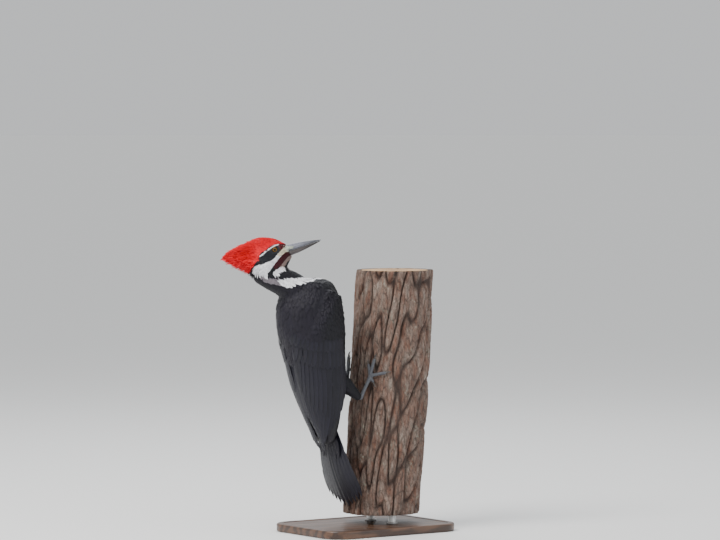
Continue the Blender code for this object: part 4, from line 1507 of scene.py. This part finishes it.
def makeEyes():
    for side, word in sides:
        middle, axis = headPlace(0, 0, side * headPlan["eye_side"]), leftward * side
        bpy.ops.mesh.primitive_uv_sphere_add(segments=eyePlan["segments"], ring_count=eyePlan["rings"],
                                             radius=headPlan["eye_radius"] * mm, location=(0, 0, 0))
        eye = bpy.context.object
        eye.name = eye.data.name = f"eyeball_{word}"
        aim = Vector((0, 0, 1)).rotation_difference(Vector(axis)).to_matrix()
        points = coordsOf(eye.data) @ np.array(aim).T
        front = unit(points) @ axis
        points = points + axis * (smoothStep(front, 0.78, 1.0) * eyePlan["bulge"] * mm)[:, None]
        setCoords(eye.data, points + middle)
        eye.data.shade_smooth()
        declare(eye, eyeFinish(f"eye_{word}_glass", middle, axis), "eye", f"eye_{word}")


makeEyes()


# The log: deeply furrowed bark round sawn wood. Its middle leans a little

logPlan = {
    "bottom": 26.35,
    "top": 392,
    "middle": 43,  # along X, at this height:
    "level": 236,
    "lean": 15,  # one in this many
    "radius": 58.8,
    "raised": 0.25,  # how far the ridges stand above that
    "rim": (2.5, 0.8),  # the bark's edge is rounded over this height, by this much
    "columns": 340,
    "rows": 210,
    "stretch": 0.2,  # ridges are this much closer together around the log than along it
    "ridge": 23,
    "crack": 9,
    "furrow": 4.6,
    "wood": 50,  # radius of the wood inside the bark
    "bark_ends": 0.87,  # share of the radius, at the sawn ends
    "cuts": (0.985, 0.95, 0.91, 0.885, 0.87, 0.8, 0.68, 0.55, 0.42, 0.3, 0.18, 0.08),
    "groove": (0.885, 0.5),  # the cut where bark meets wood, and its depth
    "checks": ((0.7, 0.6), (2.3, 0.45), (-2.0, 0.75), (-0.9, 0.35)),  # radial drying cracks: angle, length
    "check_size": (1.8, 0.9),  # their depth and width
    "saw_sunk": 0.3,
    "tones": ((108, 76, 62), (136, 124, 114), (46, 32, 27), (150, 158, 142)),  # red, grey, deep, lichen
    "sawn": ((192, 158, 116), (156, 118, 80), (128, 88, 58), (126, 92, 62)),  # early, late, heart, rays
    "sawn_middle": 0.0534,
}


def barkRadius(turn, height):
    # the bark's mean surface: swellings, and low ridges except near the feet
    swell = 1.2 * np.sin(2 * turn + 0.6) + 0.9 * np.sin(height / 61 + turn)
    ridges = np.sin(11 * turn + 1.4 * np.sin(height / 47)) * np.sin(height / 83 + 2 * turn + 1)
    fade = 1 - np.exp(-((turn / 1.3) ** 8))
    return logPlan["radius"] + (swell + 1.9 * ridges) * fade


def logPlace(turn, radius, height):
    x = logPlan["middle"] + (height - logPlan["level"]) / logPlan["lean"] - radius * np.cos(turn)
    return np.stack(np.broadcast_arrays(x, radius * np.sin(turn), height), -1) * mm


def barkField(turn, height):
    # inward depth, furrow, crack and ridge tone; furrows run where a soft field passes through zero
    x, y = np.cos(turn) * 58, np.sin(turn) * 58
    sway = waves(np.stack([x, y, height], -1), 90, 3) * 3.0

    def field(a, b, c, size, seed, count):
        return waves(np.stack([a, b, c], -1), size, seed, count)

    ridge = field(x + sway, y - sway, height * logPlan["stretch"], logPlan["ridge"], 21, 9)
    small = field(x + sway, y, height * 0.3, logPlan["crack"], 22, 10)
    across = field(x * 0.5, y * 0.5, height + sway * 2, 24, 23, 8)
    fibre = field(x, y, height * 0.07, 3.4, 24, 9)
    rough = field(x, y, height * 0.6, 2.6, 25, 8)
    furrow = 1 - smoothStep(np.abs(ridge), 0.0, 0.5)
    crack = (1 - smoothStep(np.abs(small), 0.0, 0.3)) * (1 - 0.6 * furrow)
    step = (1 - smoothStep(np.abs(across), 0.0, 0.12)) * (1 - furrow)
    lift = smoothStep(np.abs(ridge), 0.25, 1.5)
    depth = furrow**1.4 * logPlan["furrow"] + crack * 1.0 + step * 0.55 + (1 - lift) * 1.2
    depth = depth + np.maximum(fibre * 0.24 + rough * 0.16 + 0.4, 0)
    return depth, furrow, crack, np.clip(0.5 + 0.3 * small + 0.22 * fibre, 0, 1)


def barkFinish():
    g = Graph("bark")
    place = g.place()
    grit = g.noise(g.stretched(place, (1, 1, 0.3)), 520, 5, 0.65)
    broad = g.noise(place, 34, 3)
    pits = g.cells(g.stretched(place, (1, 1, 0.4)), 420)
    bent = g.vector("ADD", place, g.scaled(g.noise(place, 120, 3), 0.006))
    flakes = g.cells(g.stretched(bent, (1, 1, 0.34)), 190, "DISTANCE_TO_EDGE").ramp(0.0, 0.07)
    fine = g.noise(g.stretched(place, (1, 1, 0.4)), 1500, 4, 0.7)
    shade = grit.ramp(0.25, 0.75, 0.6, 1.32) * broad.ramp(0.3, 0.7, 0.84, 1.14)
    shade = shade * pits.ramp(0.05, 0.35, 0.8, 1.0) * (0.72 + flakes * 0.3) * fine.ramp(0.3, 0.7, 0.8, 1.16)
    height = grit + pits * 0.3 + flakes * 0.7 + fine * 0.35
    return g.finished(g.scaled(g.tint(), shade), grit.ramp(0.3, 0.7, 0.78, 0.96), height, 0.0009, 0.9)


def sawnFinish():
    # growth rings round the log's middle, rays across them and the marks of the saw
    g = Graph("sawn_wood")
    place = g.place()
    x, y, _ = place.parts()
    middle = logPlan["sawn_middle"]
    wobble = g.noise(place, 26, 2)
    level = g.vector("MULTIPLY", place, (1, 1, 0))
    spokes = g.vector("NORMALIZE", g.vector("SUBTRACT", level, (middle, 0, 0)))
    away = ((x - middle) ** 2 + y**2) ** 0.5
    grown = away * 1000 + wobble * 9
    ring = (grown * 2.9 + (grown * 0.55).sine() * 1.6).sine() * (0.65 + (grown * 0.31).sine() * 0.35)
    ray = g.noise(spokes, 38, 2)
    saw = ((x * 0.8 + y * 0.55) * 3100).sine()
    early, late, heart, rays = (tone(*shade) for shade in logPlan["sawn"])
    colour = g.mix(ring.ramp(-0.5, 1.0), early, late)
    colour = g.mix(away.ramp(0.006, 0.034, 0.6, 0), colour, heart)
    colour = g.mix(ray.ramp(0.55, 0.7, 0, 0.35), colour, rays)
    return g.finished(colour, ring.ramp(-1, 1, 0.7, 0.85), ring * 0.5 + saw * 0.4 + ray, 0.0003, 0.6)


barkTones = [np.array(tone(*shade)) for shade in logPlan["tones"]]


def barkPaint(grid, furrow, crack, streak):
    red, grey, deep, lichen = barkTones
    long = grid * (1, 1, 0.3)
    share = streak * 0.5 + 0.15 + waves(long, 15 * mm, 12) * 0.16 + waves(long, 4 * mm, 13) * 0.1
    paint = red + (grey - red) * np.clip(share, 0, 1)[..., None]
    paint = paint + (deep - paint) * (0.85 * furrow**2.6)[..., None]
    paint = paint * (1 - 0.42 * crack[..., None])
    patch = smoothStep(waves(grid, 26 * mm, 15), 0.5, 1.6) * (1 - furrow)
    patch = patch * smoothStep(waves(grid, 4 * mm, 16), 0, 1.6)
    return paint + (lichen - paint) * (patch * 0.6)[..., None]


def bridged(lower, upper, flipped):
    # quads between two equal rings of point numbers
    quads = np.stack([lower, np.roll(lower, -1), np.roll(upper, -1), upper], -1).tolist()
    return [quad[::-1] for quad in quads] if flipped else quads


def sawnRing(turn, rim, middle, height, number, sign):
    # one ring of a sawn end, sunk a little where the wood has dried and cracked
    step, ends = logPlan["cuts"][number], logPlan["bark_ends"]
    (groove, sunk), (deep, wide) = logPlan["groove"], logPlan["check_size"]
    ring = middle + (rim - middle) * step
    if step <= ends:  # the wood's edge is round, not furrowed like the bark
        ring = logPlace(turn, logPlan["wood"] * step / ends, height)
    ring[:, 2] = height * mm
    drop = sunk * (step == groove) + 0.25 * np.abs(waves(ring, 4 * mm, 30 + number)) * (step > groove)
    for angle, reach in logPlan["checks"]:
        gap = np.abs((turn - angle + math.pi) % (2 * math.pi) - math.pi) * step * 55
        drop = drop + deep * peak(gap, wide) * (step <= ends) * (step > 1 - reach)
    ring[:, 2] -= sign * (drop + logPlan["saw_sunk"]) * mm
    return ring


def makeLog():
    columns, rows = logPlan["columns"], logPlan["rows"]
    turn = (np.arange(columns) / columns * 2 * math.pi + math.pi) % (2 * math.pi) - math.pi
    height = np.linspace(logPlan["bottom"], logPlan["top"], rows)
    turns, heights = np.meshgrid(turn, height)
    depth, furrow, crack, streak = barkField(turns, heights)
    ends = np.minimum(heights - logPlan["bottom"], logPlan["top"] - heights)
    over, rounded = logPlan["rim"]
    depth = depth + rounded * (1 - smoothStep(ends, 0, over))
    grid = logPlace(turns, barkRadius(turns, heights) + logPlan["raised"] - depth, heights)
    red, _, deep, _ = barkTones
    points, paints = [grid.reshape(-1, 3)], [barkPaint(grid, furrow, crack, streak).reshape(-1, 3)]
    i = np.arange(columns)
    faces = [quad for k in range(rows - 1) for quad in bridged(k * columns + i, (k + 1) * columns + i, False)]
    slots = [0] * len(faces)  # bark, and 1 for sawn wood
    count = rows * columns
    for sign, row in ((1, rows - 1), (-1, 0)):
        middle = logPlace(0, 0, height[row])
        previous = row * columns + i
        for number, step in enumerate(logPlan["cuts"]):
            isWood = step <= logPlan["bark_ends"]
            points.append(sawnRing(turn, grid[row], middle, height[row], number, sign))
            paints.append(np.tile(red * 1.4 if isWood else deep * 1.2, (columns, 1)))
            faces += bridged(previous, count + i, sign < 0)
            slots += [int(isWood)] * columns
            previous = count + i
            count += columns
        points.append(middle[None] - np.array((0, 0, sign * logPlan["saw_sunk"] * mm)))
        paints.append(red[None])
        fan = [(a, b, count) for a, b in zip(previous.tolist(), np.roll(previous, -1).tolist())]
        faces += fan if sign > 0 else [face[::-1] for face in fan]
        slots += [1] * columns
        count += 1
    log = solidOf("bark_log", np.concatenate(points), faces)
    log.data.materials.append(barkFinish())
    log.data.polygons.foreach_set("material_index", slots)
    paintVertices(log.data, np.concatenate(paints))
    log.data.set_sharp_from_angle(angle=math.radians(50))
    declare(log, sawnFinish(), "bark", "perch_log")


# Feet and claws

footPlan = {
    "ankle": (28, 236, 3.4),  # degrees round the log, height, height above the bark
    "scute": 2.0,
    "scute_height": 0.42,
    "pads": (0.16, 1.1),  # height and size of the fine pads below the toes
    "voxel": 0.36,
    "colour": (84, 86, 92),
    "claw": ((38, 35, 34), (92, 84, 78)),
}


def footFinish():
    g = Graph("foot_skin")
    fine = g.noise(g.place(), 900, 3)
    colour = g.scaled(g.tint(), fine.ramp(0.3, 0.7, 0.78, 1.18))
    height = g.cells(g.place(), 1500) + fine
    return g.finished(colour, fine.ramp(0.3, 0.7, 0.45, 0.7), height, 0.0001, 0.5)


def clawFinish():
    g = Graph("claw_horn")
    streak = g.noise(g.stretched(g.place(), (500, 500, 160)), 2, 3)
    colour = g.mix(streak.ramp(0.35, 0.65), *(tone(*shade) for shade in footPlan["claw"]))
    return g.finished(colour, streak.ramp(0.3, 0.7, 0.22, 0.42), streak, 0.0001, 0.4)


def addScutes(foot, side):
    # overlapping scales across the toes and the leg, and fine pads below
    degrees, height, above = footPlan["ankle"]
    angle = np.radians(degrees)
    ankle = logPlace(angle, barkRadius(angle, height) + above, np.array(float(height))) * (1, side, 1)
    points, normals = coordsOf(foot.data), normalsOf(foot.data)
    away = np.linalg.norm(points - ankle, axis=1) / mm
    outward = unit(points - np.array((0.05, 0, 0)))
    outward[:, 2] = 0
    top = smoothStep((normals * unit(outward)).sum(1), -0.2, 0.5)
    along = away / footPlan["scute"] % 1
    step = np.clip((1 - along) * 1.15, 0, 1) * smoothStep(along, 0.0, 0.16)
    ring = smoothStep(away, 3.2, 4.5)
    lift = (step - 0.35) * footPlan["scute_height"] * top * ring
    high, size = footPlan["pads"]
    pads = high * np.abs(waves(points, size * mm, 5)) * (1 - top)
    setCoords(foot.data, points + normals * (lift + pads)[:, None] * mm)
    groove = 1 - 0.6 * (1 - smoothStep(along, 0.0, 0.2)) * ring
    shade = groove * (0.9 + 0.25 * step * top)
    paintVertices(foot.data, np.array(tone(*footPlan["colour"])) * shade[:, None])


def makeFeet():
    skinOfFoot, horn = footFinish(), clawFinish()
    for side, word in sides:
        foot = copyOfNode(f"foot_{word}", f"scaly_foot_{word}")
        applied(foot, "SUBSURF", levels=1, render_levels=1)
        applied(foot, "REMESH", mode="VOXEL", voxel_size=footPlan["voxel"] * mm)
        applied(foot, "SMOOTH", factor=0.5, iterations=3)
        addScutes(foot, side)
        foot.data.shade_smooth()
        declare(foot, skinOfFoot, "foot_skin", f"foot_{word}")
        for toe in ("inner", "middle", "outer", "hind"):
            claw = copyOfNode(f"claw_{word}_{toe}", f"hooked_claw_{word}_{toe}", 0.02 * mm)
            applied(claw, "SUBSURF", levels=2, render_levels=2)
            claw.data.shade_smooth()
            declare(claw, horn, "claw", f"claw_{word}_{toe}")


makeFeet()
makeLog()


# Display stand: a bevelled wooden base and two steel rods with collars

standPlan = {
    "base": (236, 176, 12),
    "corner": 34,
    "edge": 2.4,
    "step": 7,  # width of the low border round the top
    "step_down": 0.7,
    "rod": 6,
    "rod_ends": (12.05, 26.3),
    "collar": (8.6, 2.4),  # radius and height
    "collar_sunk": 0.6,
    "rods_at": (29, 28),
    "sharp": 35,
    "wood": ((60, 42, 32), (96, 68, 50), (30, 20, 15)),  # dark and pale rings, pores
    "steel": ((0.5, 0.5, 0.49), (0.66, 0.66, 0.65)),
}


def baseFinish():
    g = Graph("walnut_satin", Coat_Weight=0.2, Coat_Roughness=0.25)
    place = g.place()
    x, y, z = place.parts()
    warp = g.noise(g.stretched(place, (4, 18, 18)), 2.2, 3)
    rings = ((y * 210 + x * 12 + warp * 9 + z * 90) * 1.6).sine()
    pores = g.noise(g.stretched(place, (60, 900, 900)), 1, 3)
    fibre = g.noise(g.stretched(place, (14, 400, 400)), 1, 4)
    dark, pale, pore = (tone(*shade) for shade in standPlan["wood"])
    colour = g.scaled(g.mix(rings.ramp(-0.9, 1.0), dark, pale), fibre.ramp(0.25, 0.75, 0.72, 1.2))
    colour = g.mix(pores.ramp(0.62, 0.72, 0, 0.7), colour, pore)
    return g.finished(colour, fibre.ramp(0.3, 0.7, 0.34, 0.5), pores * -0.6 + fibre * 0.5, 0.00012, 0.5)


def rodFinish():
    g = Graph("brushed_steel", Metallic=1.0)
    place = g.place()
    brushed = g.noise(g.stretched(place, (60, 60, 5200)), 1, 2)
    smudge = g.noise(place, 90, 3)
    colour = g.mix(brushed.ramp(0.3, 0.7), *standPlan["steel"])
    return g.finished(colour, brushed.ramp(0.3, 0.7, 0.24, 0.36) + smudge * 0.1, brushed, 0.00005, 0.4)


def pick(obj, kind, test):
    # opens the mesh for editing with only those edges or faces selected
    bpy.ops.object.mode_set(mode="EDIT")
    bpy.ops.mesh.select_all(action="DESELECT")
    bpy.ops.mesh.select_mode(type=kind)
    bm = bmesh.from_edit_mesh(obj.data)
    for element in bm.edges if kind == "EDGE" else bm.faces:
        element.select = test(element)
    bm.select_flush_mode()
    bmesh.update_edit_mesh(obj.data)


def primitive(add, name, **settings):
    bpy.ops.object.select_all(action="DESELECT")
    add(**settings)
    obj = bpy.context.object
    obj.name = obj.data.name = name
    bpy.ops.object.transform_apply(location=True, rotation=True, scale=True)
    return obj


def finishStand(obj, material, slot, node):
    obj.data.shade_smooth()
    obj.data.set_sharp_from_angle(angle=math.radians(standPlan["sharp"]))
    declare(obj, material, slot, node)


def makeBase():
    length, width, height = standPlan["base"]
    base = primitive(bpy.ops.mesh.primitive_cube_add, "stand_base_wood", size=1,
                     location=(0, 0, height / 2 * mm), scale=(length * mm, width * mm, height * mm))
    pick(base, "EDGE", lambda edge: abs(edge.verts[0].co.z - edge.verts[1].co.z) > height / 2 * mm)
    bpy.ops.mesh.bevel(offset=standPlan["corner"] * mm, segments=14, affect="EDGES")
    bpy.ops.object.mode_set(mode="OBJECT")
    applied(base, "BEVEL", width=standPlan["edge"] * mm, segments=4, limit_method="ANGLE", angle_limit=0.9)
    pick(base, "FACE", lambda face: face.normal.z > 0.999)
    bpy.ops.mesh.inset(thickness=standPlan["step"] * mm, depth=0)
    bpy.ops.mesh.inset(thickness=0.5 * mm, depth=-standPlan["step_down"] * mm)
    bpy.ops.object.mode_set(mode="OBJECT")
    finishStand(base, baseFinish(), "base_wood", "stand_base")


def makeRods():
    finish = rodFinish()
    x, y = standPlan["rods_at"]
    radius, (collar, tall) = standPlan["rod"], standPlan["collar"]
    (bottom, top), sunk = standPlan["rod_ends"], standPlan["collar_sunk"]
    for number, side in enumerate((-1, 1), start=1):
        rod = primitive(bpy.ops.mesh.primitive_cylinder_add, f"stand_rod_steel_{number}", vertices=40,
                        radius=collar * mm, depth=tall * mm,
                        location=(x * mm, side * y * mm, (bottom + tall / 2 - sunk) * mm))
        pick(rod, "FACE", lambda face: face.normal.z > 0.9)
        bpy.ops.mesh.inset(thickness=(collar - radius) * mm, depth=0)
        rise = (0, 0, (top - bottom - tall + sunk) * mm)
        bpy.ops.mesh.extrude_region_move(TRANSFORM_OT_translate={"value": rise})
        bpy.ops.object.mode_set(mode="OBJECT")
        applied(rod, "BEVEL", width=0.45 * mm, segments=3, limit_method="ANGLE", angle_limit=0.9)
        finishStand(rod, finish, "rod_steel", f"stand_rod_{number}")


makeBase()
makeRods()
